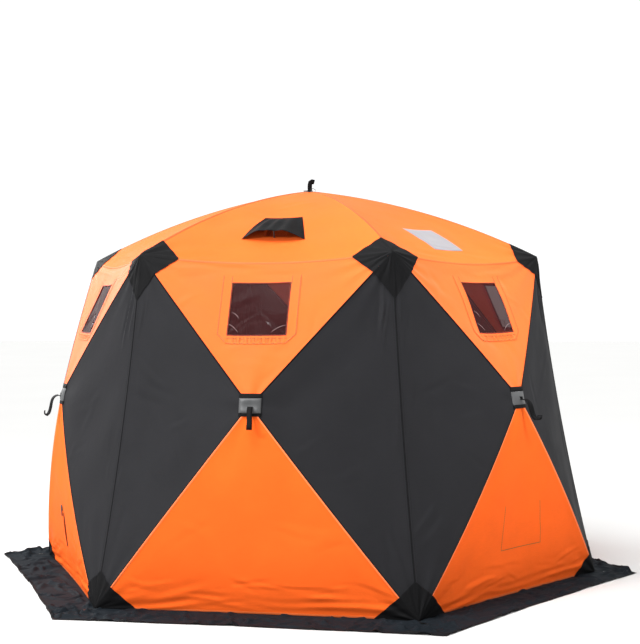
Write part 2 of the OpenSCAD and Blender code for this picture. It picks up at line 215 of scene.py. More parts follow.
def sewn_tape(name, colour, thread, rough=0.62, stitch=7.0, rows=(0.25, 0.75), gloss_level=0.2, row=0.05):
    """A folded cloth seam or binding with rows of lockstitch along it. Its UV map runs across it from 0 to 1,
    and along it in metres. Real stitches are 3 mm long, drawn longer here so that a row reads as dashes."""
    values = {"Roughness": rough, "Specular IOR Level": gloss_level}
    material, tree, shader, coords = new_material(name, values)
    parts = add_node(tree, "ShaderNodeSeparateXYZ", links={0: coords["UV"]})
    run = add_node(tree, "ShaderNodeMath", {1: 1000 / stitch}, {0: parts.outputs["Y"]}, operation="MULTIPLY")
    run = add_node(tree, "ShaderNodeMath", links={0: run.outputs[0]}, operation="FRACT")
    mask = add_node(tree, "ShaderNodeMath", {1: 0.72}, {0: run.outputs[0]}, operation="LESS_THAN")
    away = None
    for at in rows:
        near = add_node(tree, "ShaderNodeMath", {1: at, 2: row}, {0: parts.outputs["X"]}, operation="COMPARE")
        if away:
            either = {0: away.outputs[0], 1: near.outputs[0]}
            near = add_node(tree, "ShaderNodeMath", links=either, operation="MAXIMUM")
        away = near
    dashes = {0: mask.outputs[0], 1: away.outputs[0]}
    mask = add_node(tree, "ShaderNodeMath", links=dashes, operation="MULTIPLY")
    stretch = (3.0, 60.0, 1.0)
    drawn = add_node(tree, "ShaderNodeVectorMath", {1: stretch}, {0: coords["UV"]}, operation="MULTIPLY")
    uneven = add_node(tree, "ShaderNodeTexNoise", {"Scale": 1.0, "Detail": 2.0}, {"Vector": drawn.outputs[0]})
    tones = {6: shaded(colour, 0.86), 7: shaded(colour, 1.06)}
    cloth = add_node(tree, "ShaderNodeMix", tones, {0: uneven.outputs["Fac"]}, data_type="RGBA")
    sewn = {0: mask.outputs[0], 6: cloth.outputs[2]}
    both = add_node(tree, "ShaderNodeMix", {7: shaded(thread)}, sewn, data_type="RGBA")
    sunk = {0: mask.outputs[0], 2: uneven.outputs["Fac"]}
    high = add_node(tree, "ShaderNodeMath", {1: -1.0}, sunk, operation="MULTIPLY_ADD")
    bump = add_node(
        tree, "ShaderNodeBump", {"Strength": 0.35, "Distance": 0.0012}, {"Height": high.outputs[0]}
    )
    connect(tree, shader, {"Base Color": both.outputs[2], "Normal": bump.outputs[0]})
    return material


def ribbed_webbing(name, colour):
    """Woven polypropylene webbing: ribs 1.6 mm apart across the strap, with a dull gloss on their crowns."""
    material, tree, shader, coords = new_material(name, {"Roughness": 0.55, "Specular IOR Level": 0.06})
    rib = {"Scale": 196.0, "Distortion": 0.6, "Detail": 1.0}
    ribs = add_node(tree, "ShaderNodeTexWave", rib, {"Vector": coords["UV"]}, bands_direction="Y")
    tones = {6: shaded(colour, 0.6), 7: shaded(colour, 1.5)}
    tone = add_node(tree, "ShaderNodeMix", tones, {0: ribs.outputs["Fac"]}, data_type="RGBA")
    bump = add_node(
        tree, "ShaderNodeBump", {"Strength": 0.5, "Distance": 0.0008}, {"Height": ribs.outputs["Fac"]}
    )
    connect(tree, shader, {"Base Color": tone.outputs[2], "Normal": bump.outputs[0]})
    return material


def tinted_film(name, colour):
    """Clear vinyl window film with a dark wine tint: smooth, faintly hazed, half see-through."""
    values = {"Alpha": 0.74, "Specular IOR Level": 0.03, "IOR": 1.53}
    material, tree, shader, coords = new_material(name, values)
    hazed = {"Scale": 22.0, "Detail": 3.0, "Distortion": 1.2}
    haze = add_node(tree, "ShaderNodeTexNoise", hazed, {"Vector": coords["UV"]})
    tones = {6: shaded(colour, 0.8), 7: shaded(colour, 1.25)}
    tone = add_node(tree, "ShaderNodeMix", tones, {0: haze.outputs["Fac"]}, data_type="RGBA")
    gloss = add_node(
        tree, "ShaderNodeMapRange", {"To Min": 0.07, "To Max": 0.2}, {"Value": haze.outputs["Fac"]}
    )
    bump = add_node(
        tree, "ShaderNodeBump", {"Strength": 0.25, "Distance": 0.003}, {"Height": haze.outputs["Fac"]}
    )
    faces = {"Base Color": tone.outputs[2], "Roughness": gloss.outputs[0], "Normal": bump.outputs[0]}
    connect(tree, shader, faces)
    return material


def insect_net(name, colour):
    """Polyester insect net over a vent, drawn with 3 mm cells because the real 0.6 mm ones don't show. Its
    black threads are painted wine red: a painted glow of the orange roof behind them."""
    material, tree, shader, coords = new_material(name, {"Roughness": 0.8, "Alpha": 0.8})
    cells = add_node(tree, "ShaderNodeTexChecker", {"Scale": 330.0}, {"Vector": coords["UV"]})
    tones = {6: shaded(colour, 0.5), 7: shaded(colour, 1.8)}
    tone = add_node(tree, "ShaderNodeMix", tones, {0: cells.outputs["Fac"]}, data_type="RGBA")
    connect(tree, shader, {"Base Color": tone.outputs[2]})
    return material


def pulled_fibreglass(name):
    """Pultruded fibreglass rod, 11 mm: near black and glossy, with long hair-fine streaks from the glass."""
    material, tree, shader, coords = new_material(name, {"Roughness": 0.28, "IOR": 1.55})
    hair = {"Scale": 400.0, "Detail": 2.0}
    streaks = add_node(tree, "ShaderNodeTexNoise", hair, {"Vector": coords["Object"]})
    tones = {6: shaded(linear("#141516")), 7: shaded(linear("#2B2D30"))}
    tone = add_node(tree, "ShaderNodeMix", tones, {0: streaks.outputs["Fac"]}, data_type="RGBA")
    connect(tree, shader, {"Base Color": tone.outputs[2]})
    return material


def moulded_nylon(name):
    """Glass-filled black nylon, injection moulded: a spark-eroded grain of half a millimetre, low gloss."""
    material, tree, shader, coords = new_material(name, {"Roughness": 0.45})
    place = {"Vector": coords["Object"]}
    grain = add_node(tree, "ShaderNodeTexNoise", {"Scale": 1800.0, "Detail": 2.0}, place)
    worn = add_node(tree, "ShaderNodeTexNoise", {"Scale": 45.0, "Detail": 4.0}, place)
    tones = {6: shaded(linear("#121213")), 7: shaded(linear("#242526"))}
    tone = add_node(tree, "ShaderNodeMix", tones, {0: worn.outputs["Fac"]}, data_type="RGBA")
    bump = add_node(
        tree, "ShaderNodeBump", {"Strength": 0.2, "Distance": 0.0004}, {"Height": grain.outputs["Fac"]}
    )
    connect(tree, shader, {"Base Color": tone.outputs[2], "Normal": bump.outputs[0]})
    return material


def blackened_brass(name):
    """Pressed brass eyelets with an oxide-black finish, rubbed brighter in places."""
    material, tree, shader, coords = new_material(name, {"Metallic": 1.0, "Roughness": 0.38})
    rubbing = {"Scale": 320.0, "Detail": 3.0}
    rubbed = add_node(tree, "ShaderNodeTexNoise", rubbing, {"Vector": coords["Object"]})
    tone = add_node(tree, "ShaderNodeValToRGB", links={"Fac": rubbed.outputs["Fac"]})
    set_ramp(tone, ((0.45, shaded(linear("#1A1917"))), (0.75, shaded(linear("#3C3730")))))
    connect(tree, shader, {"Base Color": tone.outputs["Color"]})
    return material


def studio_floor(name):
    """Seamless white paper roll: dead matt, with a trace of unevenness."""
    material, tree, shader, coords = new_material(name, {"Roughness": 0.95, "Specular IOR Level": 0.1})
    cloudy = {"Scale": 0.6, "Detail": 2.0}
    uneven = add_node(tree, "ShaderNodeTexNoise", cloudy, {"Vector": coords["Object"]})
    tones = {6: shaded(linear("#B9B9B8")), 7: shaded(linear("#BDBDBC"))}
    tone = add_node(tree, "ShaderNodeMix", tones, {0: uneven.outputs["Fac"]}, data_type="RGBA")
    connect(tree, shader, {"Base Color": tone.outputs[2]})
    return material


FINISHES = {}


def make_finishes(c):
    """The hut's materials, made from the chosen colours."""
    heavy = {"thread": 3.4, "depth": 0.2}
    one_row = {"rows": (0.5,)}
    # The skirt's black, darker than the walls' and a little blue: the blue is painted against the orange that
    # the walls reflect onto it.
    skirt_black = linear("#15191D")
    return {
        "roof": oxford_cloth("coated_oxford_orange_roof", c.orange, 0.03, 0.66, gloss_level=0.11, glow=0.14),
        "upper": oxford_cloth(
            "coated_oxford_orange_upper", c.orange, 0.23, 0.55, gloss_level=0.13, glow=0.14
        ),
        "wall": oxford_cloth("coated_oxford_orange_wall", c.orange, 0.0, 0.62, gloss_level=0.02, glow=0.14),
        "side": oxford_cloth("coated_oxford_black", c.black, 0.01, 0.60, blotch=0.08, gloss_level=0.04),
        "patch": oxford_cloth("heavy_oxford_black", c.patch, 0.0, 0.6, blotch=0.1, gloss_level=0.04, **heavy),
        "ground": oxford_cloth(
            "heavy_oxford_black_skirt", skirt_black, 0.0, 0.66, blotch=0.12, gloss_level=0.035, **heavy
        ),
        "silver": oxford_cloth("silvered_oxford_grey", c.silver, 0.05, 0.45, thread=2.2, gloss_level=0.3),
        "pale": oxford_cloth("bonded_cloth_pale_grey", c.pale, 0.05, 0.5, thread=2.2, blotch=0.03),
        # The felled roof seams, darker than the cloth they join: painted shade along the seam.
        "seam": sewn_tape("felled_seam_painted_shade", linear("#B4541F"), linear("#8A4420")),
        # The darts under the windows, darker than the cloth: painted shade in the pleats' folds.
        "dart": sewn_tape("gathering_dart_painted_shade", linear("#A85A24"), linear("#8A4A20")),
        # The folded edges of the lower cloth, in a lighter orange than the cloth: a painted highlight where
        # the fold catches the light.
        "edge_highlight": sewn_tape("folded_edge_painted_highlight", linear("#FF7E48"), linear("#F0743C")),
        "line": sewn_tape(
            "stitch_line_orange", linear("#B4682E"), linear("#6E4020"), stitch=9.0, row=0.3, **one_row
        ),
        # The eave seams and wall hems, darker than the cloth: painted shade along them.
        "fold": sewn_tape("rolled_hem_painted_shade", linear("#D2602A"), linear("#A85A2C")),
        "binding": sewn_tape(
            "binding_tape_black", c.webbing, shaded(c.webbing, 1.6), rough=0.7, gloss_level=0.05
        ),
        "blackline": sewn_tape(
            "stitch_line_black",
            shaded(c.black, 0.4),
            shaded(c.black, 0.9),
            rough=0.7,
            gloss_level=0.05,
            **one_row,
        ),
        "webbing": ribbed_webbing("polypropylene_webbing_black", c.webbing),
        "coil": ribbed_webbing("nylon_zip_coil_black", c.webbing),
        "winebind": sewn_tape("film_edge_binding", linear("#4A1512"), linear("#6A2A22"), **one_row),
        "film": tinted_film("tinted_vinyl_film", c.film),
        # Pale strips along the films' creases: painted highlights.
        "crease_glint": tinted_film("film_crease_painted_highlight", linear("#7C6868")),
        "net": insect_net("insect_net_painted_glow", linear("#A83818")),
        "pole": pulled_fibreglass("pultruded_fibreglass"),
        "nylon": moulded_nylon("moulded_nylon_black"),
        "brass": blackened_brass("blackened_brass"),
    }


def finish_of(name):
    """One of the hut's materials, each made once."""
    if not FINISHES:
        FINISHES.update(make_finishes(bpy.context.scene.hut_colours))
    return FINISHES[name]


# ---------------------------------------------------------------- the shape of the cloth


def polar(radius, angle, height):
    """A point at a radius and an angle in degrees round the hut's middle."""
    turn = math.radians(angle)
    return np.array((radius * math.cos(turn), radius * math.sin(turn), height))


def corner_angle(i):
    return -120 + 60 * i


def wall_angle(j):
    return -90 + 60 * j


def unit(v):
    return v / np.linalg.norm(v)


def directions(points):
    """Which way a run of points goes at each point."""
    way = np.gradient(points, axis=0)
    return way / np.linalg.norm(way, axis=1, keepdims=True)


def anchors(s, j):
    """The points that hold wall j, and how far the seams between them stand off straight."""
    left, right = corner_angle(j), corner_angle(j + 1)
    rise = math.atan2(s.peak_height - s.eave_height, s.top_radius)
    out, up = s.roof_bow * math.sin(rise), s.roof_bow * math.cos(rise)
    return {
        "peak": np.array((0, 0, s.peak_height)),
        "top_l": polar(s.top_radius, left, s.eave_height),
        "top_r": polar(s.top_radius, right, s.eave_height),
        "foot_l": polar(s.foot_radius, left, 0),
        "foot_r": polar(s.foot_radius, right, 0),
        "hub": polar(s.hub_radius, wall_angle(j), s.hub_height),
        "roof_l": polar(out, left, up),
        "roof_r": polar(out, right, up),
        "eave": np.array((0, 0, -s.eave_sag)),
        "up": polar(s.upper_bow, wall_angle(j), 0),
        "low": polar(s.lower_bow, wall_angle(j), 0),
        "corner_l": polar(-s.corner_pull, left, 0),
        "corner_r": polar(-s.corner_pull, right, 0),
        "hem": polar(-s.hem_pull, wall_angle(j), 0),
    }


def eased(x):
    """0 to 1 with soft ends."""
    x = np.clip(x, 0, 1)
    return x * x * (3 - 2 * x)


def wrapped(angle):
    """The same angle, between minus and plus half a turn."""
    return (angle + math.pi) % (2 * math.pi) - math.pi


def crease_height(xy, rows):
    """Soft ridges, each with a hollow beside it. A row is x, y, angle, length, width, height."""
    total = np.zeros(len(xy))
    for x, y, angle, length, width, height in rows:
        dx, dy = xy[:, 0] - x, xy[:, 1] - y
        along = dx * math.cos(angle) + dy * math.sin(angle)
        across = dy * math.cos(angle) - dx * math.sin(angle)
        across = across + 0.05 * length * np.sin(2.4 * along / length + x * 9)
        ends = np.clip(1 - (2 * along / length) ** 2, 0, 1) ** 1.5
        ridge = np.exp(-((across / width) ** 2))
        hollow = np.exp(-(((across - 1.7 * width) / (1.2 * width)) ** 2))
        total += height * ends * (ridge - 0.6 * hollow)
    return total


# How far each kind of panel shifts its weave, and where its random numbers start.
KINDS = {"gore": (0, 1), "upper": (11, 2), "lower": (23, 3), "left": (31, 4), "right": (43, 5)}

WAVE_DEPTH = 0.0022
GROUND_CLEAR = 0.0003
INSIDE = np.array((0, 0, 0.8))


class Panel:
    """One sewn triangle of cloth. Its cut is flat, in metres, and at() finds where a point of it hangs."""

    def __init__(self, kind, j, corners, bulges, cut):
        self.corners, self.bulges, self.cut = np.array(corners), np.array(bulges), np.array(cut, float)
        frame_of_cut = np.vstack([self.cut.T, np.ones(3)])
        self.to_shares = np.linalg.inv(frame_of_cut)
        sides = [np.linalg.norm(self.cut[(k + 2) % 3] - self.cut[(k + 1) % 3]) for k in range(3)]
        double = abs(np.linalg.det(frame_of_cut))
        self.heights = np.array([double / side for side in sides])
        self.area = double / 2
        shift, seed = KINDS[kind]
        self.shift = 0.37 * j + shift
        self.rng = r = np.random.default_rng(1000 + 17 * j + seed)
        self.creases, self.fans, self.rows, self.waves = [], [], [], []
        for _ in range(5):
            self.waves.append(
                (r.uniform(0, math.pi), r.uniform(0.32, 0.62), r.uniform(0, 6.28), r.uniform(0.4, 1.0))
            )

    def shares(self, xy):
        return (self.to_shares @ np.vstack([xy.T, np.ones(len(xy))])).T

    def wave_relief(self, xy):
        """Broad slack waves."""
        total = np.zeros(len(xy))
        for angle, length, phase, size in self.waves:
            along = xy[:, 0] * math.cos(angle) + xy[:, 1] * math.sin(angle)
            total += WAVE_DEPTH * size * np.sin(2 * math.pi * along / length + phase)
        return total

    def fan_relief(self, xy, fan):
        """Folds that spread from a point that pulls the cloth."""
        tip, first, last, count, reach, depth, phase = fan
        away = xy - tip
        r = np.hypot(away[:, 0], away[:, 1])
        turn = np.arctan2(away[:, 1], away[:, 0])
        share = np.clip(wrapped(turn - first) / wrapped(last - first), 0, 1)
        swell = (r / (0.3 * reach)) * np.exp(1 - r / (0.3 * reach))
        fold = np.cos(2 * math.pi * count * share + phase + 0.8 * np.sin(5 * share))
        return depth * swell * (np.sign(fold) * np.abs(fold) ** 0.8) * np.sin(math.pi * share) ** 0.5

    def row_relief(self, xy, row):
        """A row of small folds that lie along a hem."""
        y0, spread, step, depth, phase = row
        x, h = xy[:, 0], xy[:, 1]
        drift = 0.012 * np.sin(x * 5.1 + phase) + 0.006 * np.sin(x * 13.7 + 2 * phase)
        strength = 0.55 + 0.45 * np.sin(x * 4.3 + 1.7 * phase)
        fold = np.sin(2 * math.pi * (h + drift) / step + phase)
        return depth * strength * np.exp(-(((h - y0) / spread) ** 2)) * fold

    def relief(self, xy, shares):
        """How far the cloth stands off its taut shape. Each kind of fold dies out towards the seams."""
        inside = (np.clip(shares, 0, 1) * self.heights).min(axis=1)
        total = self.wave_relief(xy) * eased(inside / 0.16)
        for fan in self.fans:
            total += self.fan_relief(xy, fan) * eased(inside / 0.012)
        total += crease_height(xy, self.creases) * eased(inside / 0.02)
        for row in self.rows:
            total += self.row_relief(xy, row) * eased(inside / 0.03)
        return total * bpy.context.scene.hut_sizes.slack

    def at(self, xy, lift=0.0):
        """Where points of the flat cut hang, lifted off the cloth by a distance."""
        xy = np.asarray(xy, float).reshape(-1, 2)
        s = self.shares(xy)
        u, v, w = s[:, 0:1], s[:, 1:2], s[:, 2:3]
        a, b, c = self.corners
        p, q, r = self.bulges
        point = u * a + v * b + w * c + 4 * (u * v * p + v * w * q + w * u * r)
        du = a - c + 4 * (v * p - v * q + (w - u) * r)
        dv = b - c + 4 * (u * p + (w - v) * q - u * r)
        normal = np.cross(du, dv)
        normal /= np.linalg.norm(normal, axis=1, keepdims=True)
        normal *= np.sign((normal * (point - INSIDE)).sum(axis=1, keepdims=True))
        point = point + normal * (self.relief(xy, s) + lift)[:, None]
        point[:, 2] = np.maximum(point[:, 2], GROUND_CLEAR)
        return point

    def fan(self, corner, count, reach, depth, phase):
        """Folds that spread from one corner of the cut between its two seams."""
        tip, one, two = self.cut[corner], self.cut[(corner + 1) % 3], self.cut[(corner + 2) % 3]
        first = math.atan2(*(one - tip)[::-1])
        last = math.atan2(*(two - tip)[::-1])
        self.fans.append((tip, first, last, count, reach, depth, phase))

    def scatter(self, count, x_range, y_range, angle, spread, length, width, height):
        """Creases strewn over part of the cut, near one direction."""
        r = self.rng
        for _ in range(count):
            x, y, turn = r.uniform(*x_range), r.uniform(*y_range), angle + r.normal(0, spread)
            size = r.uniform(*length), r.uniform(*width), r.uniform(*height) * r.choice((-1, 1))
            self.creases.append((x, y, turn, *size))


def flat_triangle(a, b, c):
    """Three points in space laid flat, a at the left of the base, b at its right and c above."""
    base, side, other = np.linalg.norm(b - a), np.linalg.norm(c - a), np.linalg.norm(c - b)
    x = (base**2 + side**2 - other**2) / (2 * base)
    y = math.sqrt(side**2 - x**2)
    return np.array([(-base / 2, 0), (base / 2, 0), (x - base / 2, y)])


def make_gore(k, j):
    """One gore of the roof."""
    cut = flat_triangle(k["top_l"], k["top_r"], k["peak"])
    gore = Panel("gore", j, (k["top_l"], k["top_r"], k["peak"]), (k["eave"], k["roof_r"], k["roof_l"]), cut)
    gore.fan(0, 2.6, 0.30, 0.0018, 0.4 + j)
    gore.fan(1, 2.6, 0.30, 0.0018, 2.1 + j)
    gore.fan(2, 2.0, 0.35, 0.0020, 1.0 + j)
    gore.scatter(7, (-0.45, 0.45), (0.02, 0.12), 0.0, 0.10, (0.18, 0.45), (0.012, 0.02), (0.0008, 0.0018))
    gore.scatter(6, (-0.35, 0.35), (0.15, 0.7), 0.3, 0.8, (0.15, 0.35), (0.015, 0.03), (0.0006, 0.0014))
    return gore


def make_upper(k, j):
    """The orange triangle above a wall's hub."""
    flat = flat_triangle(k["top_l"], k["top_r"], k["hub"])
    cut = np.array([(flat[2][0], -flat[2][1]), flat[1], flat[0]])
    upper = Panel("upper", j, (k["hub"], k["top_r"], k["top_l"]), (k["up"], k["eave"], k["up"]), cut)
    upper.fan(0, 1.6, 0.30, 0.0022, 0.6 + 2 * j)
    upper.fan(1, 2.8, 0.34, 0.0020, 1.3 + j)
    upper.fan(2, 2.8, 0.34, 0.0020, 0.2 + j)
    upper.scatter(7, (-0.5, 0.5), (-0.10, -0.02), 0.0, 0.08, (0.2, 0.5), (0.012, 0.02), (0.0008, 0.002))
    upper.scatter(5, (-0.3, 0.3), (-0.62, -0.45), 0.2, 0.7, (0.12, 0.25), (0.014, 0.022), (0.0006, 0.0013))
    for x_range, angle in (((-0.42, -0.2), 1.2), ((0.2, 0.42), 1.9)):
        upper.scatter(4, x_range, (-0.40, -0.12), angle, 0.5, (0.10, 0.25), (0.014, 0.022), (0.0006, 0.0014))
    return upper


def make_lower(k, j):
    """The orange triangle below a wall's hub, slack along its hem."""
    cut = flat_triangle(k["foot_l"], k["foot_r"], k["hub"])
    lower = Panel("lower", j, (k["foot_l"], k["foot_r"], k["hub"]), (k["hem"], k["low"], k["low"]), cut)
    lower.fan(0, 2.4, 0.40, 0.0020, 0.9 + j)
    lower.fan(1, 2.4, 0.40, 0.0020, 2.4 + j)
    lower.fan(2, 1.8, 0.30, 0.0026, 0.5 + j)
    lower.rows.append((0.04, 0.05, 0.042, 0.0013, 1.1 * j))
    lower.scatter(20, (-0.62, 0.62), (0.02, 0.15), 0.0, 0.14, (0.08, 0.36), (0.006, 0.013), (0.0010, 0.0028))
    for side in (-1, 1):
        lower.creases.append((side * 0.46, 0.034, side * -0.06, 0.52, 0.012, 0.0052))
        lower.creases.append((side * 0.36, 0.085, side * -0.16, 0.40, 0.016, 0.0030))
    lower.scatter(7, (-0.4, 0.4), (0.18, 0.5), 0.1, 0.6, (0.15, 0.4), (0.016, 0.03), (0.0006, 0.0016))
    return lower


def make_sides(k, j):
    """The black triangles at the left and right of a wall's hub."""
    flat = flat_triangle(k["foot_l"], k["top_l"], k["hub"])
    length = flat[1][0] - flat[0][0]
    foot, top, hub = np.array([(p[1], p[0] + length / 2) for p in flat])
    flip = np.array((-1, 1))
    left = Panel(
        "left", j, (k["top_l"], k["foot_l"], k["hub"]), (k["corner_l"], k["low"], k["up"]), (top, foot, hub)
    )
    cut = (top * flip, hub * flip, foot * flip)
    right = Panel("right", j, (k["top_r"], k["hub"], k["foot_r"]), (k["up"], k["low"], k["corner_r"]), cut)
    upright = math.pi / 2
    for cloth, side, tips in ((left, 1, (0, 1, 2)), (right, -1, (0, 2, 1))):
        cloth.fan(tips[0], 2.2, 0.42, 0.0022, 1.4 + j)
        cloth.fan(tips[1], 2.0, 0.42, 0.0022, 0.3 + j)
        cloth.fan(tips[2], 1.8, 0.30, 0.0016, 2.2 + j)
        spans = ((0.018, 0.075), (0.05, 0.22), (0.12, 0.5))
        near, low, wide = (sorted((side * a, side * b)) for a, b in spans)
        high = (length - 0.36, length - 0.20)
        slant = upright - side * 0.35
        cloth.scatter(5, near, high, upright, 0.05, (0.14, 0.34), (0.007, 0.012), (0.0022, 0.0042))
        cloth.scatter(
            3, near, (0.35, length - 0.5), upright, 0.12, (0.10, 0.3), (0.010, 0.014), (0.0008, 0.002)
        )
        cloth.scatter(7, wide, (0.55, 1.2), side * -0.5, 0.5, (0.10, 0.30), (0.012, 0.022), (0.0007, 0.0018))
        cloth.scatter(5, low, (0.10, 0.45), slant, 0.3, (0.12, 0.3), (0.012, 0.02), (0.001, 0.0024))
    return left, right


PANELS = {}


def panel(kind, j):
    """One of the hut's thirty triangles of cloth, by its kind and wall."""
    if not PANELS:
        for wall in WALLS:
            k = anchors(bpy.context.scene.hut_sizes, wall)
            PANELS["gore", wall] = make_gore(k, wall)
            PANELS["upper", wall] = make_upper(k, wall)
            PANELS["lower", wall] = make_lower(k, wall)
            PANELS["left", wall], PANELS["right", wall] = make_sides(k, wall)
    return PANELS[kind, j % 6]


# ---------------------------------------------------------------- making pieces

# Where two cloths meet at more than this angle, the edge stays sharp.
CREASED = math.radians(14)
AXES = (Vector((1, 0, 0)), Vector((0, 1, 0)))


def outline(points):
    """A flat face that looks up, ready to be cut into cells."""
    bm = bmesh.new()
    face = bm.faces.new([bm.verts.new((x, y, 0)) for x, y in points])
    face.normal_update()
    if face.normal.z < 0:
        face.normal_flip()
    return bm


def slice_at(bm, geometry, axis, value, snap):
    """Cuts flat cloth along a line."""
    bmesh.ops.bisect_plane(bm, geom=geometry, dist=snap, plane_co=AXES[axis] * value, plane_no=AXES[axis])


def faces_in(bm, x0, y0, x1, y1):
    """The faces whose middles lie in a box of the flat cloth."""
    middles = ((face, face.calc_center_median()) for face in bm.faces)
    return [face for face, at in middles if x0 < at.x < x1 and y0 < at.y < y1]


def cut_cloth(shape, cuts, openings=()):
    """A triangle of cloth cut flat, its openings taken out, and hung, with a UV map in metres of cloth."""
    bm = outline(shape.cut)
    bmesh.ops.subdivide_edges(bm, edges=bm.edges[:], cuts=cuts, use_grid_fill=True)
    round_it = 0.05
    for x0, y0, x1, y1 in openings:
        for axis, value in ((0, x0), (0, x1), (1, y0), (1, y1)):
            near = faces_in(bm, x0 - round_it, y0 - round_it, x1 + round_it, y1 + round_it)
            geometry = set(near) | {e for f in near for e in f.edges} | {v for f in near for v in f.verts}
            slice_at(bm, list(geometry), axis, value, 1e-5)
        bmesh.ops.delete(bm, geom=faces_in(bm, x0, y0, x1, y1), context="FACES")
    bmesh.ops.triangulate(bm, faces=[f for f in bm.faces if len(f.verts) > 4])
    return hang(bm, shape)


def set_uv(bm, place):
    """Smooths the faces, and lays the UV map from each point of the flat cloth."""
    layer = bm.loops.layers.uv.verify()
    for face in bm.faces:
        face.smooth = True
        for loop in face.loops:
            loop[layer].uv = place(loop.vert.co)
    bm.verts.ensure_lookup_table()


def flat_points(bm):
    return np.array([v.co[:2] for v in bm.verts])


def move_points(bm, places):
    for vert, place in zip(bm.verts, places):
        vert.co = place
    return bm


def hang(bm, shape, lift=0.0):
    """Moves a flat piece of cloth to where it hangs on a panel, and keeps its flat place as the UV map."""
    set_uv(bm, lambda co: (co.x + shape.shift, co.y))
    return move_points(bm, shape.at(flat_points(bm), lift))


def grid(across, along):
    """A unit square of cloth as a grid, ready to be shaped."""
    bm = bmesh.new()
    bmesh.ops.create_grid(bm, x_segments=across, y_segments=along, size=0.5)
    bmesh.ops.translate(bm, verts=bm.verts, vec=(0.5, 0.5, 0))
    return bm


def shape_grid(bm, place, width=1.0, length=1.0, shift=0.0):
    """Moves the grid's points by place(u, v), with a UV map of its real width and length."""
    set_uv(bm, lambda co: (co.x * width + shift, co.y * length + shift))
    u, v = flat_points(bm).T
    return move_points(bm, place(u, v))


def gather(parts, weld=0.0):
    """Several bmeshes as one, welded where they meet."""
    whole = bmesh.new()
    for part in parts:
        mesh = bpy.data.meshes.new("part")
        part.to_mesh(mesh)
        part.free()
        whole.from_mesh(mesh)
        bpy.data.meshes.remove(mesh)
    if weld:
        bmesh.ops.remove_doubles(whole, verts=whole.verts, dist=weld)
    return whole


def sew(parts):
    """Cloths welded along their seams, which stay sharp where they fold."""
    whole = gather(parts, 0.0004)
    for edge in whole.edges:
        if len(edge.link_faces) == 2 and edge.calc_face_angle(0) > CREASED:
            edge.smooth = False
    return whole


def new_object(name, data):
    """Puts a mesh, light or camera in the scene."""
    thing = bpy.data.objects.new(name, data)
    bpy.context.scene.collection.objects.link(thing)
    return thing


def new_mesh(name, bm, material):
    """Turns a bmesh into a mesh of one material."""
    mesh = bpy.data.meshes.new(name)
    bm.to_mesh(mesh)
    bm.free()
    mesh.materials.append(material)
    return mesh


def make_piece(name, bm, finish, nodes=(), thickness=0.0):
    """Turns a bmesh into a finished piece that rides on the hut and stands for its CAD nodes."""
    piece = new_object(name, new_mesh(name, bm, finish_of(finish)))
    if thickness:
        solid = piece.modifiers.new("cloth thickness", "SOLIDIFY")
        solid.thickness = thickness
        solid.offset = 0.0
    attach(piece, "root")
    if nodes:
        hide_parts(*nodes)
    return piece


def edge_points(shape, first, second, t):
    """Points along the seam between two corners of a panel's cut, and the way into the cloth."""
    a, b, c = shape.cut[first], shape.cut[second], shape.cut[3 - first - second]
    along = unit(b - a)
    inward = np.array((-along[1], along[0]))
    if inward @ (c - a) < 0:
        inward = -inward
    return a + np.outer(t, b - a), inward


def seam(one, two, widths, high, steps, ends):
    """A raised strip along the seam of two panels, each given with the two corners that the seam joins."""
    length = np.linalg.norm(one[0].cut[one[1]] - one[0].cut[one[2]])
    start, run = ends[0], ends[1] - ends[0]

    def place(u, v):
        t = start + run * v
        lift = high * (1 - np.abs(2 * u - 1) ** 3) + 0.0003
        points = np.zeros((len(u), 3))
        for side, (shape, a, b), wide in ((u <= 0.5, one, widths[0]), (u > 0.5, two, widths[1])):
            edge, inward = edge_points(shape, a, b, t[side])
            into = np.abs(2 * u[side] - 1) * wide
            points[side] = shape.at(edge + into[:, None] * inward, lift[side])
        return points

    return shape_grid(grid(6, steps), place, 1.0, length * run)


def stitch_line(shape, start, end, wide=0.003, lift=0.0006, steps=None):
    """A narrow row of stitches on a panel between two points of its cut."""
    start, end = np.array(start, float), np.array(end, float)
    length = np.linalg.norm(end - start)
    along = (end - start) / length
    side = np.array((-along[1], along[0]))

    def place(u, v):
        return shape.at(start + np.outer(v, end - start) + np.outer((u - 0.5) * wide, side), lift)

    return shape_grid(grid(1, steps or max(2, int(length / 0.012))), place, 1.0, length)


def path_through(points, steps):
    """A smooth run of points through a few, and how far along each lies."""
    p = np.array(points, float)
    knots = np.vstack([2 * p[0] - p[1], p, 2 * p[-1] - p[-2]])
    run = []
    for k in range(len(p) - 1):
        a, b, c, d = knots[k : k + 4]
        square, cube = 2 * a - 5 * b + 4 * c - d, 3 * b - a - 3 * c + d
        for t in np.linspace(0, 1, steps, endpoint=False):
            run.append(0.5 * (2 * b + (c - a) * t + square * t * t + cube * t**3))
    run.append(p[-1])
    run = np.array(run)
    far = np.concatenate([[0], np.cumsum(np.linalg.norm(np.diff(run, axis=0), axis=1))])
    return run, far


def strap(points, side, width, steps=7):
    """A flat strap along a smooth path, its width lying along side at each point."""
    run, far = path_through(points, steps)
    last = len(run) - 1
    side = np.atleast_2d(np.array(side, float))

    def between(at, places, rows):
        return np.stack([np.interp(at, places, rows[:, k]) for k in range(3)], axis=1)

    def place(u, v):
        index = v * last
        middle = between(index, np.arange(len(run)), run)
        ways = between(index / last, np.linspace(0, 1, len(side)), side)
        return middle + (u - 0.5)[:, None] * width * ways

    return shape_grid(grid(3, last), place, width, far[-1])


def turn_between(one, two):
    return Vector(one).rotation_difference(Vector(two)).to_matrix().to_4x4()


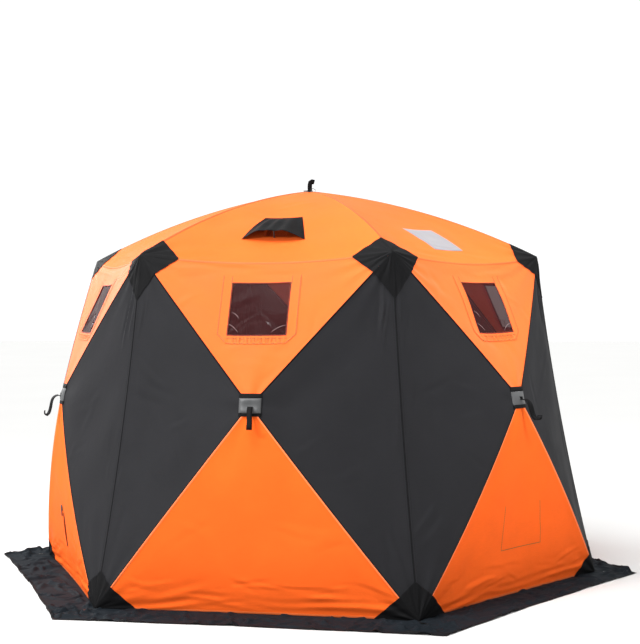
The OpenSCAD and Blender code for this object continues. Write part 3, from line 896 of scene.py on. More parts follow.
def tube(points, radius, sides=8, steps=6):
    """A round cord or wire along a smooth path, closed at both ends."""
    run, _ = path_through(points, steps)
    bm = bmesh.new()
    tangent = directions(run)
    ring = bmesh.ops.create_circle(bm, cap_ends=True, segments=sides, radius=radius)["verts"]
    first = Matrix.Translation(run[0]) @ turn_between((0, 0, 1), tangent[0])
    bmesh.ops.transform(bm, matrix=first, verts=ring)
    cap = bm.faces[:]
    for k in range(1, len(run)):
        new = bmesh.ops.extrude_face_region(bm, geom=cap)["geom"]
        verts = [g for g in new if isinstance(g, bmesh.types.BMVert)]
        bmesh.ops.delete(bm, geom=cap, context="FACES_ONLY")
        cap = [g for g in new if isinstance(g, bmesh.types.BMFace)]
        turn = turn_between(tangent[k - 1], tangent[k])
        back = Matrix.Translation(run[k - 1]).inverted()
        bmesh.ops.transform(bm, matrix=Matrix.Translation(run[k]) @ turn @ back, verts=verts)
    for face in bm.faces:
        face.smooth = True
    bmesh.ops.recalc_face_normals(bm, faces=bm.faces)
    return bm


# ---------------------------------------------------------------- pieces


class HUT_OT_roof(bpy.types.Operator):
    """Six gores sewn into one domed canopy, with the vent openings cut in two of them"""

    bl_idname = "hut.roof"
    bl_label = "Roof canopy"

    def execute(self, context):
        vent = (-0.06, 0.245, 0.06, 0.365)
        whole = sew([cut_cloth(panel("gore", j), 119, [vent] if j in (0, 3) else []) for j in WALLS])
        piece = make_piece("roof_canopy", whole, "roof", [f"roof_gore_{j + 1}" for j in WALLS])
        area = sum(panel("gore", j).area for j in WALLS)
        return {"FINISHED"}


class HUT_OT_walls(bpy.types.Operator):
    """Each wall's orange triangles, the upper with a window cut in it, and the black ones at the corners"""

    bl_idname = "hut.walls"
    bl_label = "Wall cloth"

    def execute(self, context):
        s = context.scene.hut_sizes
        half, top = s.window_width / 2, -s.window_top
        opening = (-half, top - s.window_height, half, top)
        port = (0.021, 0.181, 0.029, 0.347)
        for j in WALLS:
            n = j + 1
            shape = panel("upper", j)
            cloth = cut_cloth(shape, 127, [opening])
            piece = make_piece(f"upper_cloth_{n}", cloth, "upper", [f"upper_wall_{n}"])
            shape = panel("lower", j)
            cloth = cut_cloth(shape, 127, [port] if j == 5 else [])
            piece = make_piece(f"lower_cloth_{n}", cloth, "wall", [f"lower_wall_{n}"])
            both = sew([cut_cloth(panel("left", j), 119), cut_cloth(panel("right", j - 1), 119)])
            piece = make_piece(f"side_cloth_{n}", both, "side", [f"side_panel_{n}"])
            area = panel("left", j).area * 2
        return {"FINISHED"}


# A seam joins two cloths, each named with its step from the wall and the corners of its cut that the seam
# runs between. Then come its widths on the two cloths, its height, its steps, and where it starts and ends.
TAPE, TURNED = (0.006, 0.0012), (0.007, 0.0004)
ABOVE, BELOW, OPEN, WHOLE = (0.115, 0.965), (0.095, 0.968), (0.11, 0.958), (0.01, 0.99)
SEAMS = (
    ("roof_seams", ("gore", 0, 0, 2), ("gore", -1, 1, 2), (0.012, 0.002), 0.0016, 110, (0.105, 0.965)),
    ("eave_seams", ("gore", 0, 0, 1), ("upper", 0, 2, 1), (0.002, 0.011), 0.0014, 110, (0.14, 0.86)),
    ("panel_bindings", ("left", 0, 0, 2), ("upper", 0, 2, 0), TAPE, 0.0018, 110, ABOVE),
    ("panel_bindings", ("right", 0, 0, 1), ("upper", 0, 1, 0), TAPE, 0.0018, 110, ABOVE),
    ("panel_bindings", ("left", 0, 1, 2), ("lower", 0, 0, 2), TAPE, 0.0018, 110, BELOW),
    ("panel_bindings", ("right", 0, 2, 1), ("lower", 0, 1, 2), TAPE, 0.0018, 110, BELOW),
    ("corner_seams", ("left", 0, 0, 1), ("right", -1, 0, 2), (0.004, 0.004), 0.0014, 150, (0.115, 0.915)),
    ("inner_corner_bindings", ("left", 0, 0, 1), ("right", -1, 0, 2), (0.013, 0.013), -0.005, 60, WHOLE),
    # The lower cloth's folded edges beside the black panels are drawn lighter, as a painted highlight.
    ("folded_edges", ("lower", 0, 0, 2), ("left", 0, 1, 2), TURNED, 0.0022, 110, OPEN),
    ("folded_edges", ("lower", 0, 1, 2), ("right", 0, 2, 1), TURNED, 0.0022, 110, OPEN),
)


def wall_hem(lower):
    """The folded hem along the foot of a wall."""

    def place(u, v):
        edge, inward = edge_points(lower, 0, 1, 0.125 + 0.75 * v)
        return lower.at(edge + (u * 0.012)[:, None] * inward, 0.0003 + 0.001 * (1 - (2 * u - 1) ** 4))

    return shape_grid(grid(4, 90), place, 1.0, 1.15)


def seams_named(name):
    """Every wall's seams of one name."""
    parts = []
    for j in WALLS:
        for _, *cloths, widths, high, steps, ends in (row for row in SEAMS if row[0] == name):
            one, two = ((panel(kind, j + step), a, b) for kind, step, a, b in cloths)
            parts.append(seam(one, two, widths, high, steps, ends))
    return parts


class HUT_OT_seams(bpy.types.Operator):
    """Felled seams between the orange cloths, and black binding round the black ones"""

    bl_idname = "hut.seams"
    bl_label = "Seams and bindings"

    def execute(self, context):
        for name, finish, slot in (
            ("roof_seams", "seam", "roof_cloth"),
            ("eave_seams", "fold", "wall_cloth"),
            ("panel_bindings", "binding", "side_cloth"),
            ("corner_seams", "blackline", "side_cloth"),
            ("inner_corner_bindings", "binding", "side_cloth"),
            ("wall_hems", "fold", "wall_cloth"),
            ("folded_edges", "edge_highlight", "wall_cloth"),
        ):
            parts = seams_named(name) or [wall_hem(panel("lower", j)) for j in WALLS]
            make_piece(name, gather(parts), finish)
        return {"FINISHED"}


class Window:
    """One wall's window: where its opening lies on the cloth, and the pieces round it."""

    # The stitched frame: its widths at the sides, above and below, and the cut of its lower corners.
    wide, over, under, cut = 0.05, 0.040, 0.046, 0.050
    # The film reaches this far under the frame, all told.
    overlap = 0.02

    def __init__(self, s, j):
        self.j, self.shape = j, panel("upper", j)
        self.width, self.height = s.window_width, s.window_height
        self.half, self.top, self.low = s.window_width / 2, -s.window_top, -s.window_top - s.window_height
        self.rng = np.random.default_rng(70 + j)

    def film(self):
        """The tinted film, with the marks of being rolled up."""
        half, low, rng = self.half, self.low, self.rng
        marks = []
        for side in (-1, 1):
            for k in range(3):
                x, y = side * (half - 0.03 - 0.03 * k), low + 0.025 + 0.028 * k
                angle = -side * (0.6 + 0.15 * rng.random())
                marks.append((x, y, angle, 0.10 + 0.03 * k, 0.005, 0.0042))
        for _ in range(5):
            x, y, angle = rng.uniform(-half, half), rng.uniform(low, self.top), rng.uniform(0, 3.1)
            marks.append((x, y, angle, 0.2, 0.02, 0.0012))
        width, height = self.width + self.overlap, self.height + self.overlap

        def place(u, v):
            xy = np.stack([(u - 0.5) * width, low - self.overlap / 2 + v * height], axis=1)
            held = np.clip(np.minimum(np.minimum(u, 1 - u), np.minimum(v, 1 - v)) * 12, 0, 1)
            return self.shape.at(xy, -0.0022 + crease_height(xy, marks) * held)

        return shape_grid(grid(44, 40), place, width, height, self.shape.shift)

    def rim(self, inset=0.0):
        """The outline of the frame below its top, from the upper left round to the upper right."""
        side, foot = self.half + self.wide - inset, self.low - self.under + inset
        bend, flat = self.low + self.cut - self.under, self.half + self.wide - self.cut
        head = self.top + self.over
        return [(-side, head), (-side, bend), (-flat, foot), (flat, foot), (side, bend), (side, head)]

    def frame(self):
        """A band of cloth round the opening, wider at the sides, pleated under the window."""
        band = outline(self.rim())
        edge, hide = self.half + self.wide, 0.003
        columns = np.linspace(-edge, edge, 34)[1:-1].tolist() + [-self.half + hide, self.half - hide]
        rows = np.linspace(self.low - self.under, self.top + self.over, 32)[1:-1].tolist()
        rows += [self.low + hide, self.top - hide]
        for axis, values in enumerate((columns, rows)):
            for value in values:
                slice_at(band, band.verts[:] + band.edges[:] + band.faces[:], axis, value, 1e-4)
        inside = faces_in(band, hide - self.half, self.low + hide, self.half - hide, self.top - hide)
        bmesh.ops.delete(band, geom=inside, context="FACES")
        x, y = flat_points(band).T
        in_band = eased((self.low - y) / 0.02) * eased((self.half + 0.02 - np.abs(x)) / 0.03)
        pleats = 0.0028 * in_band * np.sin(x * 2 * math.pi / 0.031 + self.j)
        return hang(band, self.shape, 0.0012 + np.maximum(pleats, -0.0008))

    def stitching(self):
        """Rows of stitches along the frame's edges."""
        inset, near = 0.004, self.half + 0.004
        left_top, left, left_foot, right_foot, right, right_top = self.rim(inset)
        over = self.top + self.over - inset
        rows = [((side * near, over), (side * near, self.top - 0.01)) for side in (-1, 1)]
        rows += [(left_top, left), (right_top, right), (left, left_foot), (right, right_foot)]
        rows.append((left_foot, right_foot))
        rows.append(((-near, self.low - 0.016), (near, self.low - 0.016)))
        return [stitch_line(self.shape, a, b, 0.005, 0.0022) for a, b in rows]

    def darts(self):
        """Short stitched darts that gather the lower band, darker than the cloth: painted shade in the folds.
        """
        lines = []
        for x in np.linspace(-self.half + 0.03, self.half - 0.03, 14):
            end = (x + self.rng.normal(0, 0.003), self.low - 0.034)
            lines.append(stitch_line(self.shape, (x, self.low - 0.010), end, 0.0030, 0.0042))
        return lines

    def crease(self, x, y, end_x, end_y, bow):
        """A pale strip along a curved crease in the film, a painted highlight where the crease catches the
        light, given in shares of the window.
        """
        start = np.array((x - 0.5, y)) + self.rng.normal(0, 0.012, 2)
        way = np.array((end_x - x, end_y - y))
        side = np.array((-way[1], way[0])) / np.hypot(*way)

        def place(u, v):
            wide = (u - 0.5) * 0.013 * np.sin(math.pi * np.clip(v, 0.02, 0.98)) ** 0.5
            share = start + np.outer(v, way) + np.outer(bow * 4 * v * (1 - v) + wide, side)
            return self.shape.at(share * (self.width, self.height) + (0, self.low), 0.0024)

        return shape_grid(grid(2, 12), place, 0.004, 0.06)

    def binding(self):
        """The narrow tape round the film."""
        left, right, low, top = -self.half, self.half, self.low, self.top
        corners = [(left, low), (right, low), (right, top), (left, top), (left, low)]
        return [stitch_line(self.shape, a, b, 0.005, 0.0018) for a, b in zip(corners, corners[1:])]


# The painted highlights along each film's creases: start, end and bow, in shares of the window.
CREASE_HIGHLIGHTS = ((0.03, 0.42, 0.16, 0.30, 0.02), (0.01, 0.2, 0.18, 0.05, 0.015), (0.74, 0.05, 0.98, 0.18, 0.025))


class HUT_OT_windows(bpy.types.Operator):
    """Tinted film behind each opening, and the stitched frame round it with its pleated lower band"""

    bl_idname = "hut.windows"
    bl_label = "Windows"

    def execute(self, context):
        s = context.scene.hut_sizes
        films, frames, lines, darts, streaks, edges = [], [], [], [], [], []
        for j in WALLS:
            window = Window(s, j)
            films.append(window.film())
            frames.append(window.frame())
            lines += window.stitching()
            darts += window.darts()
            streaks += [window.crease(*row) for row in CREASE_HIGHLIGHTS]
            edges += window.binding()
        piece = make_piece("window_films", gather(films), "film", ["window_panes"])
        piece = make_piece("window_surrounds", gather(frames), "upper", ["window_frames"])
        make_piece("window_stitching", gather(lines), "line")
        make_piece("window_dart_shade", gather(darts), "dart")
        make_piece("film_crease_highlights", gather(streaks), "crease_glint")
        make_piece("window_bindings", gather(edges), "winebind")
        return {"FINISHED"}


def hood_surface(shape):
    """A vent hood: u runs across, v from the sewn edge down to the lip, which the prop lifts into a tent."""

    def hood(u, v, lift=0.0):
        half = 0.095 + 0.062 * v
        x = (2 * u - 1) * half
        y = 0.466 - 0.262 * v - 0.010 * np.sin(math.pi * u) * v
        side = 1 - np.abs(2 * u - 1)
        tent = np.sin(np.minimum(side / 0.72, 1.0) * math.pi / 2) ** 1.15
        ridge = 0.058 * v**0.85 * tent
        sag = -0.006 * np.sin(math.pi * v) * np.sin(2 * math.pi * np.clip(side, 0, 1)) ** 2
        folds = 0.0022 * v * np.sin(9 * u * math.pi + 1.3) * side
        return shape.at(np.stack([x, y], axis=1), 0.0016 + ridge + sag + folds + lift)

    return hood


def hood_bindings(hood):
    """The tapes along a hood's lip, its sewn edge and its two ends."""
    lip = shape_grid(grid(4, 60), lambda u, v: hood(v, 1 - 0.035 * u, 0.0009), 1.0, 0.36)
    head = shape_grid(grid(4, 30), lambda u, v: hood(v, 0.035 * u, 0.0009), 1.0, 0.19)
    left = shape_grid(grid(4, 30), lambda u, v: hood(np.abs(0 - 0.03 * u), v, 0.0008), 1.0, 0.31)
    right = shape_grid(grid(4, 30), lambda u, v: hood(np.abs(1 - 0.03 * u), v, 0.0008), 1.0, 0.31)
    return [lip, head, left, right]


def vent_net(shape):
    """The net under a hood, hollow in the middle."""
    size = 0.132

    def place(u, v):
        xy = np.stack([(u - 0.5) * size, 0.239 + v * size], axis=1)
        return shape.at(xy, -0.0012 - 0.004 * np.sin(math.pi * u) * np.sin(math.pi * v))

    return shape_grid(grid(14, 14), place, size, size)


class HUT_OT_vents(bpy.types.Operator):
    """A black hood over each roof vent, propped open at its lip, with a net under it"""

    bl_idname = "hut.vents"
    bl_label = "Roof vents"

    def execute(self, context):
        hoods, nets, binds = [], [], []
        for j in (0, 3):
            shape = panel("gore", j)
            hood = hood_surface(shape)
            hoods.append(shape_grid(grid(46, 36), hood, 0.32, 0.33, shape.shift))
            binds += hood_bindings(hood)
            nets.append(vent_net(shape))
        piece = make_piece("vent_hood_cloth", gather(hoods), "patch", ["vent_hoods"], 0.0008)
        make_piece("vent_hood_binding", gather(binds), "binding")
        piece = make_piece("vent_nets", gather(nets), "net", ["vent_meshes"])
        return {"FINISHED"}


# A patch at a corner of the hut lies on several cloths. On each it is a triangle: which cloth and its step
# from the corner, the cut's corner and the two that its sides run towards, how far, its cells, the depth and
# number of its folds, and their phase at the first corner and from there to the next.
EAVE, ROOF, ACROSS, DROP = 0.190, 0.158, 0.133, 0.222
HEM, CROSS, RISE = 0.204, 0.134, 0.172
STAR = (
    ("gore", 0, (0, 1, 2), (EAVE, ROOF), 27, 0.0030, 1.5, (0.0, 0.1)),
    ("gore", -1, (1, 0, 2), (EAVE, ROOF), 27, 0.0030, 1.5, (0.4, 0.1)),
    ("upper", 0, (2, 1, 0), (EAVE, ACROSS), 27, 0.0042, 1.6, (0.3, 0.2)),
    ("upper", -1, (1, 2, 0), (EAVE, ACROSS), 27, 0.0042, 1.6, (0.0, 0.1)),
    ("left", 0, (0, 1, 2), (DROP, ACROSS), 29, 0.0050, 1.8, (0.0, 0.2)),
    ("right", -1, (0, 2, 1), (DROP, ACROSS), 29, 0.0050, 1.8, (0.5, 0.2)),
)
WEDGE = (
    ("lower", 0, (0, 1, 2), (HEM, CROSS), 23, 0.0032, 1.7, (0.0, 0.2)),
    ("lower", -1, (1, 0, 2), (HEM, CROSS), 23, 0.0032, 1.7, (0.6, 0.2)),
    ("left", 0, (1, 0, 2), (RISE, CROSS), 23, 0.0020, 1.5, (0.0, 0.1)),
    ("right", -1, (2, 0, 1), (RISE, CROSS), 23, 0.0020, 1.5, (0.3, 0.1)),
)
PATCH_LIFT = 0.0024


def patch_points(shape, corners, reaches):
    """The corner of a patch on one cloth, and the ends of its two sides."""
    tip, one, two = (shape.cut[k] for k in corners)
    return tip, tip + unit(one - tip) * reaches[0], tip + unit(two - tip) * reaches[1]


def patch_corner(shape, corners, reaches, cells, lift, depth=0.0, count=2.0, phase=0.0):
    """The part of a patch that lies on one cloth. Folds run out from the corner and die before its edge."""
    tip, one, two = patch_points(shape, corners, reaches)
    bm = outline((tip, one, two))
    bmesh.ops.subdivide_edges(bm, edges=bm.edges[:], cuts=cells, use_grid_fill=True)
    if depth:
        to_shares = np.linalg.inv(np.array([one - tip, two - tip]).T)
        a, b = to_shares @ (flat_points(bm) - tip).T
        far = np.clip(a + b, 1e-6, 1)
        fold = np.sin(math.pi * (2 * count * b / far + 0.35 * far + phase))
        ends = np.sin(math.pi * np.clip(b / far, 0, 1)) ** 0.6
        lift = lift + depth * np.maximum(fold, -0.3) * np.sin(math.pi * far**0.7) * ends
    return hang(bm, shape, lift)


class HUT_OT_patches(bpy.types.Operator):
    """Heavy black cloth where the poles end: stars at the corners, wedges at the feet, a cap at the peak"""

    bl_idname = "hut.patches"
    bl_label = "Corner patches"

    def execute(self, context):
        patches, lines = {STAR: [], WEDGE: []}, []
        for i in WALLS:
            for rows, made in patches.items():
                parts = []
                for kind, step, corners, reaches, cells, depth, count, (phase, turn) in rows:
                    shape = panel(kind, i + step)
                    folds = (depth, count, phase + turn * i)
                    parts.append(patch_corner(shape, corners, reaches, cells, PATCH_LIFT, *folds))
                    # The patches' turned edges are sewn down with a dark row.
                    _, start, end = patch_points(shape, corners, reaches)
                    lines.append(stitch_line(shape, start, end, 0.006, PATCH_LIFT + 0.0012, 24))
                made.append(gather(parts, 0.0028))
        cap = [patch_corner(panel("gore", j), (2, 0, 1), (0.06, 0.06), 7, 0.0012) for j in WALLS]
        whole = gather(patches[STAR] + patches[WEDGE] + [gather(cap, 0.0022)])
        piece = make_piece("corner_reinforcements", whole, "patch", ["corner_patches"], 0.0010)
        make_piece("patch_edge_rows", gather(lines), "blackline")
        return {"FINISHED"}


class HubCloth:
    """The cloth round one wall's hub, in directions out of the wall and along it."""

    def __init__(self, s, j):
        n, after = j + 1, (j + 1) % 6 + 1
        self.trees = []
        for name in (f"upper_cloth_{n}", f"lower_cloth_{n}", f"side_cloth_{n}", f"side_cloth_{after}"):
            mesh = bpy.data.objects[name].data
            faces = [p.vertices[:] for p in mesh.polygons]
            self.trees.append(BVHTree.FromPolygons([v.co for v in mesh.vertices], faces))
        self.radius, self.height = s.hub_radius, s.hub_height
        self.out = Vector(polar(1, wall_angle(j), 0))
        self.side = Vector(polar(1, wall_angle(j) + 90, 0))

    def point(self, out, x, z):
        """A point so far out of the hut's middle, along the wall from its hub, and above the hub."""
        return self.out * out + self.side * x + Vector((0, 0, self.height + z))

    def depth(self, x, z):
        """How far out the cloth lies at a place on the wall."""
        start = self.point(self.radius + 0.3, x, z)
        hits = [tree.ray_cast(start, -self.out, 0.6)[0] for tree in self.trees]
        found = [hit.dot(self.out) for hit in hits if hit is not None]
        return max(found) if found else self.radius - 0.02

    def strip(self, width, low, high, lift):
        """A taut strip across the hub: a smooth sheet through nine places of the cloth, clear of the rest."""
        ends = (0, 0.5, 1)
        knots = [[self.depth((a - 0.5) * width, low + b * (high - low)) for b in ends] for a in ends]

        def weights(t):
            return np.stack([(2 * t - 1) * (t - 1), 4 * t * (1 - t), t * (2 * t - 1)])

        def place(u, v):
            x, z = (u - 0.5) * width, low + v * (high - low)
            level = np.einsum("ik,jk,ij->k", weights(u), weights(v), np.array(knots))
            cloth = np.array([self.depth(a, b) for a, b in zip(x, z)])
            middle = (1 - np.abs(2 * u - 1) ** 4) * (1 - np.abs(2 * v - 1) ** 4)
            level += max(0.0, (cloth - level).max()) * (0.25 + 0.75 * middle) + lift
            return [self.point(d, a, b) for d, a, b in zip(level, x, z)]

        return place

    def pull_strap(self, sway, turn, twist):
        """The strap that pulls the hub out: it stands off the patch, bends over and hangs in a hook."""
        face = Matrix.Rotation(math.radians(turn), 3, "Z") @ self.side
        base = self.depth(0, 0) + 0.0035
        last = len(STRAP_LINE) - 1
        points = []
        for k, (out, up) in enumerate(STRAP_LINE):
            points.append(self.point(base + out * MM, sway * (k / last) ** 1.4, up * MM))
        across = np.cross(directions(np.array(points)), np.array(face))
        share = np.sin(np.linspace(0, math.pi / 2, len(points)))[:, None]
        turned = math.radians(twist) * share
        return strap(points, np.array(face) * np.cos(turned) + across * np.sin(turned), 0.025)


# The pull strap's line in mm, out from the patch and up.
STRAP_LINE = (
    (0, 8), (0.4, -2), (5, -8), (16, -4), (31, -9), (43, -22),
    (50, -44), (55, -70), (63, -94), (74, -105), (84, -98), (84, -82),
)  # fmt: skip
# Each wall's strap: its sway in metres, and its turn and twist in degrees.
STRAPS = (
    (0.013, 0, 0),
    (0.046, -45, 0),
    (-0.01, 10, 20),
    (0.012, -15, -15),
    (-0.02, 20, 25),
    (-0.006, 5, -26),
)


class HUT_OT_hubs(bpy.types.Operator):
    """The grey patch over each wall hub, its webbing strips, and the strap that pulls the hub out"""

    bl_idname = "hut.hubs"
    bl_label = "Hub patches and pull straps"

    def execute(self, context):
        patches, strips, pulls = [], [], []
        for j in WALLS:
            hub = HubCloth(context.scene.hut_sizes, j)
            patch = hub.strip(0.105, -0.034, 0.034, 0.0016)
            patches.append(shape_grid(grid(20, 14), patch, 0.105, 0.068, 0.3 * j))
            for low, high in ((0.033, 0.055), (-0.049, -0.032)):
                strips.append(shape_grid(grid(20, 4), hub.strip(0.108, low, high, 0.0030), 0.108, high - low))
            pulls.append(hub.pull_strap(*STRAPS[j]))
        piece = make_piece(
            "hub_cloth", gather(patches), "silver", ["hub_patches"], 0.0008
        )
        make_piece("hub_webbing_strips", gather(strips), "webbing", ["hub_webbing"], 0.0012)
        make_piece("pull_strap_loops", gather(pulls), "webbing", ["pull_straps"], 0.0018)
        return {"FINISHED"}


# The two layers of the peak's webbing: how far back in metres, then the line across and up in mm.
LOOP_LAYERS = (
    (0.0, ((0, 1), (-1, 18), (0, 36), (3, 47), (12, 53), (26, 50))),
    (0.0032, ((1, 1), (1, 18), (2, 35), (6, 45), (14, 50), (24, 46))),
)
LOOP_CORD = ((2, 6), (9, 12), (18, 13), (27, 9), (34, 2))


class HUT_OT_peak(bpy.types.Operator):
    """The lifting strap on the peak, and the pale patch on one gore"""

    bl_idname = "hut.peak"
    bl_label = "Peak strap and roof patch"

    def execute(self, context):
        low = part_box("peak_loop")[0].z
        turned = Matrix.Rotation(math.radians(11), 4, "Z")
        # The webbing stands up doubled and its head is folded over to one side.
        doubled = []
        for back, line in LOOP_LAYERS:
            points = np.array([(x * MM, back, low + z * MM) for x, z in line])
            way = directions(points)
            side = np.stack([way[:, 2], np.zeros(len(way)), -way[:, 0]], axis=1)
            band = strap(points, side, 0.023)
            bmesh.ops.rotate(band, verts=band.verts, cent=(0, 0, 0), matrix=turned.to_3x3())
            doubled.append(band)
        foot = [(-0.034, 0.002, low + 0.0006), (-0.012, 0.002, low + 0.0016), (0.014, 0.002, low + 0.0016)]
        doubled.append(strap(foot, (0, 1, 0), 0.03))
        cord = tube([turned @ Vector((x * MM, -0.004, low + z * MM)) for x, z in LOOP_CORD], 0.0014)
        make_piece("peak_strap", gather(doubled), "webbing", ["peak_loop"], 0.0022)
        make_piece("peak_cord", cord, "nylon")
        shape = panel("gore", 1)
        middle, width, height = (-0.035, 0.222), 0.238, 0.222

        def patch(u, v):
            xy = np.stack([middle[0] + (u - 0.5) * width, middle[1] + (v - 0.5) * height], axis=1)
            return shape.at(xy, 0.0010)

        bm = shape_grid(grid(28, 26), patch, width, height)
        piece = make_piece("pale_roof_patch", bm, "pale", ["roof_patch"], 0.0006)
        return {"FINISHED"}


class HUT_OT_ports(bpy.types.Operator):
    """The cable port with its flap, the stitching of the inside pocket, and the zips"""

    bl_idname = "hut.ports"
    bl_label = "Port, pocket and zips"

    def execute(self, context):
        shape = panel("lower", 5)
        x, y0, y1 = 0.025, 0.176, 0.352
        left = panel("left", 4)
        top, foot = left.cut[0], left.cut[1]
        way, beside = unit(top - foot), np.array((0.016, 0))
        start, end = foot + way * 0.07 + beside, foot + way * 1.40 + beside
        tapes = [stitch_line(shape, (x, y0), (x, y1), 0.026, 0.0006)]
        tapes.append(stitch_line(left, start, end, 0.028, 0.0024))
        coils = [stitch_line(shape, (x, y0 + 0.004), (x, y1 - 0.004), 0.007, 0.0020)]
        coils.append(stitch_line(left, start, end, 0.007, 0.0036))
        make_piece("zip_tapes", gather(tapes), "binding", ["zips"])
        make_piece("zip_coils", gather(coils), "coil")

        def cover(u, v):
            """The flap lies open beside the zip, its free edge a little raised."""
            xy = np.stack([x - 0.045 + u * 0.034, y0 - 0.004 + v * 0.18], axis=1)
            return shape.at(xy, 0.0012 + 0.004 * u * u * np.sin(math.pi * v))

        flap = shape_grid(grid(8, 34), cover, 0.034, 0.18, 5.0)
        piece = make_piece("port_cover", flap, "wall", ["port_flap"], 0.0008)
        toggle = ((0.004, 0.012), (0.022, 0.036), (0.034, 0.026), (0.041, 0.004), (0.046, -0.022))
        cord = tube(shape.at([(x - a, y1 + b) for a, b in toggle], 0.005), 0.0032)
        make_piece("port_toggle", cord, "nylon")
        shape = panel("lower", 1)
        x0, x1, y0, y1 = -0.13, 0.2, 0.236, 0.452
        corners = ((x0, y1), (x0 - 0.01, y0), (x1, y0), (x1 - 0.03, y1))
        lines = [stitch_line(shape, a, b, 0.0035, 0.0007) for a, b in zip(corners, corners[1:])]
        make_piece("pocket_stitching", gather(lines), "line", ["inner_pocket"])
        return {"FINISHED"}


EYELET_RADIUS = 1.590
EYELET_SEAT = 0.0016


class Skirt:
    """How the ground skirt lies: where its corners were pulled to, and its wrinkles."""

    # How far each corner was pulled out by hand, and two that were also pulled aside.
    pulled = (0.015, 0.055, -0.035, -0.005, 0.0, 0.015)
    aside = {0: (0.028, -0.03, 0), 5: (0.012, -0.05, 0)}

    def __init__(self, s):
        self.s = s
        self.tips = []
        for i, pulled in enumerate(self.pulled):
            tip = polar(s.skirt_radius + pulled, corner_angle(i), 0)
            self.tips.append(tip + self.aside.get(i, (0, 0, 0)))
        self.eyelets = [polar(EYELET_RADIUS, corner_angle(i), 0)[:2] for i in WALLS]
        rng = np.random.default_rng(5)
        self.marks = []
        for j in WALLS:
            self.wrinkle(rng, j)

    def wrinkle(self, rng, j):
        """Long soft wrinkles, most of them out from the wall, and finer ones both ways."""
        start, end = (polar(self.s.foot_radius, corner_angle(i), 0)[:2] for i in (j, j + 1))
        out = polar(1, wall_angle(j), 0)[:2]
        for _ in range(64):
            t = rng.uniform(-0.12, 1.12)
            x, y = start + (end - start) * t + out * rng.uniform(0.01, 0.25)
            across = rng.random() < 0.6
            lean = rng.normal(0, 0.5) if across else math.pi / 2 + rng.normal(0, 0.28)
            size = rng.uniform(0.07, 0.30), rng.uniform(0.010, 0.024)
            high = rng.uniform(0.004, 0.013) * rng.choice((-1, 1))
            self.marks.append((x, y, math.radians(wall_angle(j)) + lean, *size, high))
        for k in range(70):
            x, y = start + (end - start) * rng.uniform(-0.12, 1.12) + out * rng.uniform(0.0, 0.27)
            way = k % 2
            angle = math.radians(wall_angle(j) + 90 * way) + rng.normal(0, 0.6 - 0.3 * way)
            size = rng.uniform(0.05, 0.2), rng.uniform(0.005, 0.009), rng.uniform(0.004, 0.009)
            self.marks.append((x, y, angle, *size))

    def ground(self, xy):
        """Height of the skirt over the ground: never under it nor far off it, and flat round the eyelets."""
        floor, sharp = 0.0012, 900
        rise = 0.0045 + 0.0022 * np.sin(xy[:, 0] * 7.3 + 1.1) * np.sin(xy[:, 1] * 6.1)
        rise = rise + crease_height(xy, self.marks)
        rise = floor + np.log1p(np.exp((rise - floor) * sharp)) / sharp
        for x, y in self.eyelets:
            calm = eased((np.hypot(xy[:, 0] - x, xy[:, 1] - y) - 0.018) / 0.04)
            rise = rise * calm + EYELET_SEAT * (1 - calm)
        return np.minimum(rise, 0.028)

    def rim(self, j, v, inset=0.0):
        """The wavy outer edge of one side, or a line inside it."""
        c, d = self.tips[j], self.tips[(j + 1) % 6]
        wavy = (0.018 + 0.003 * np.sin(v * 17 + j) + 0.0015 * np.sin(v * 43 + 2 * j)) * (4 * v * (1 - v))
        return c + np.outer(v, d - c) - np.outer(wavy + inset, polar(1, wall_angle(j), 0))

    def side(self, j):
        """One side of the skirt, from the wall's hem to the rim."""
        k = anchors(self.s, j)
        a, b, out = k["foot_l"], k["foot_r"], polar(1, wall_angle(j), 0)

        def place(u, v):
            hem = a + np.outer(v, b - a) - np.outer(4 * v * (1 - v) * (self.s.hem_pull + 0.001), out)
            flat = hem + (self.rim(j, v) - hem) * u[:, None]
            flat[:, 2] = self.ground(flat[:, :2]) * (1 - 0.5 * np.exp(-u / 0.05))
            return flat

        return shape_grid(grid(40, 230), place, 0.26, 1.66, 0.31 * j)

    def hem(self, j):
        """The stitched hem along the rim."""

        def place(u, v):
            flat = self.rim(j, v, u * 0.014)
            flat[:, 2] = self.ground(flat[:, :2]) + 0.0006 + 0.0008 * (1 - (2 * u - 1) ** 4)
            return flat

        return shape_grid(grid(3, 170), place, 1.0, 1.83)

    def mitre(self, j):
        """The seam from a foot of the walls to a corner of the skirt."""
        a, c = anchors(self.s, j)["foot_l"], self.tips[j] * 0.9985
        way = unit(c - a)
        side = np.array((-way[1], way[0], 0))

        def place(u, v):
            flat = a + np.outer(v, c - a) + np.outer((u - 0.5) * 0.009, side)
            flat[:, 2] = self.ground(flat[:, :2]) + 0.0003 + 0.001 * (1 - (2 * u - 1) ** 2)
            return flat

        return shape_grid(grid(3, 30), place, 1.0, 0.30)

    def punch(self, bm):
        """Cuts a small round hole for each eyelet."""
        for x, y in self.eyelets:
            middle = Vector((x, y, EYELET_SEAT))
            near = [f for f in bm.faces if (f.calc_center_median() - middle).length < 0.03]
            edges = list({e for f in near for e in f.edges})
            bmesh.ops.subdivide_edges(bm, edges=edges, cuts=2, use_grid_fill=True)
            inside = [f for f in bm.faces if (f.calc_center_median() - middle).length < 0.0075]
            bmesh.ops.delete(bm, geom=inside, context="FACES")
        for face in bm.faces:
            face.smooth = True


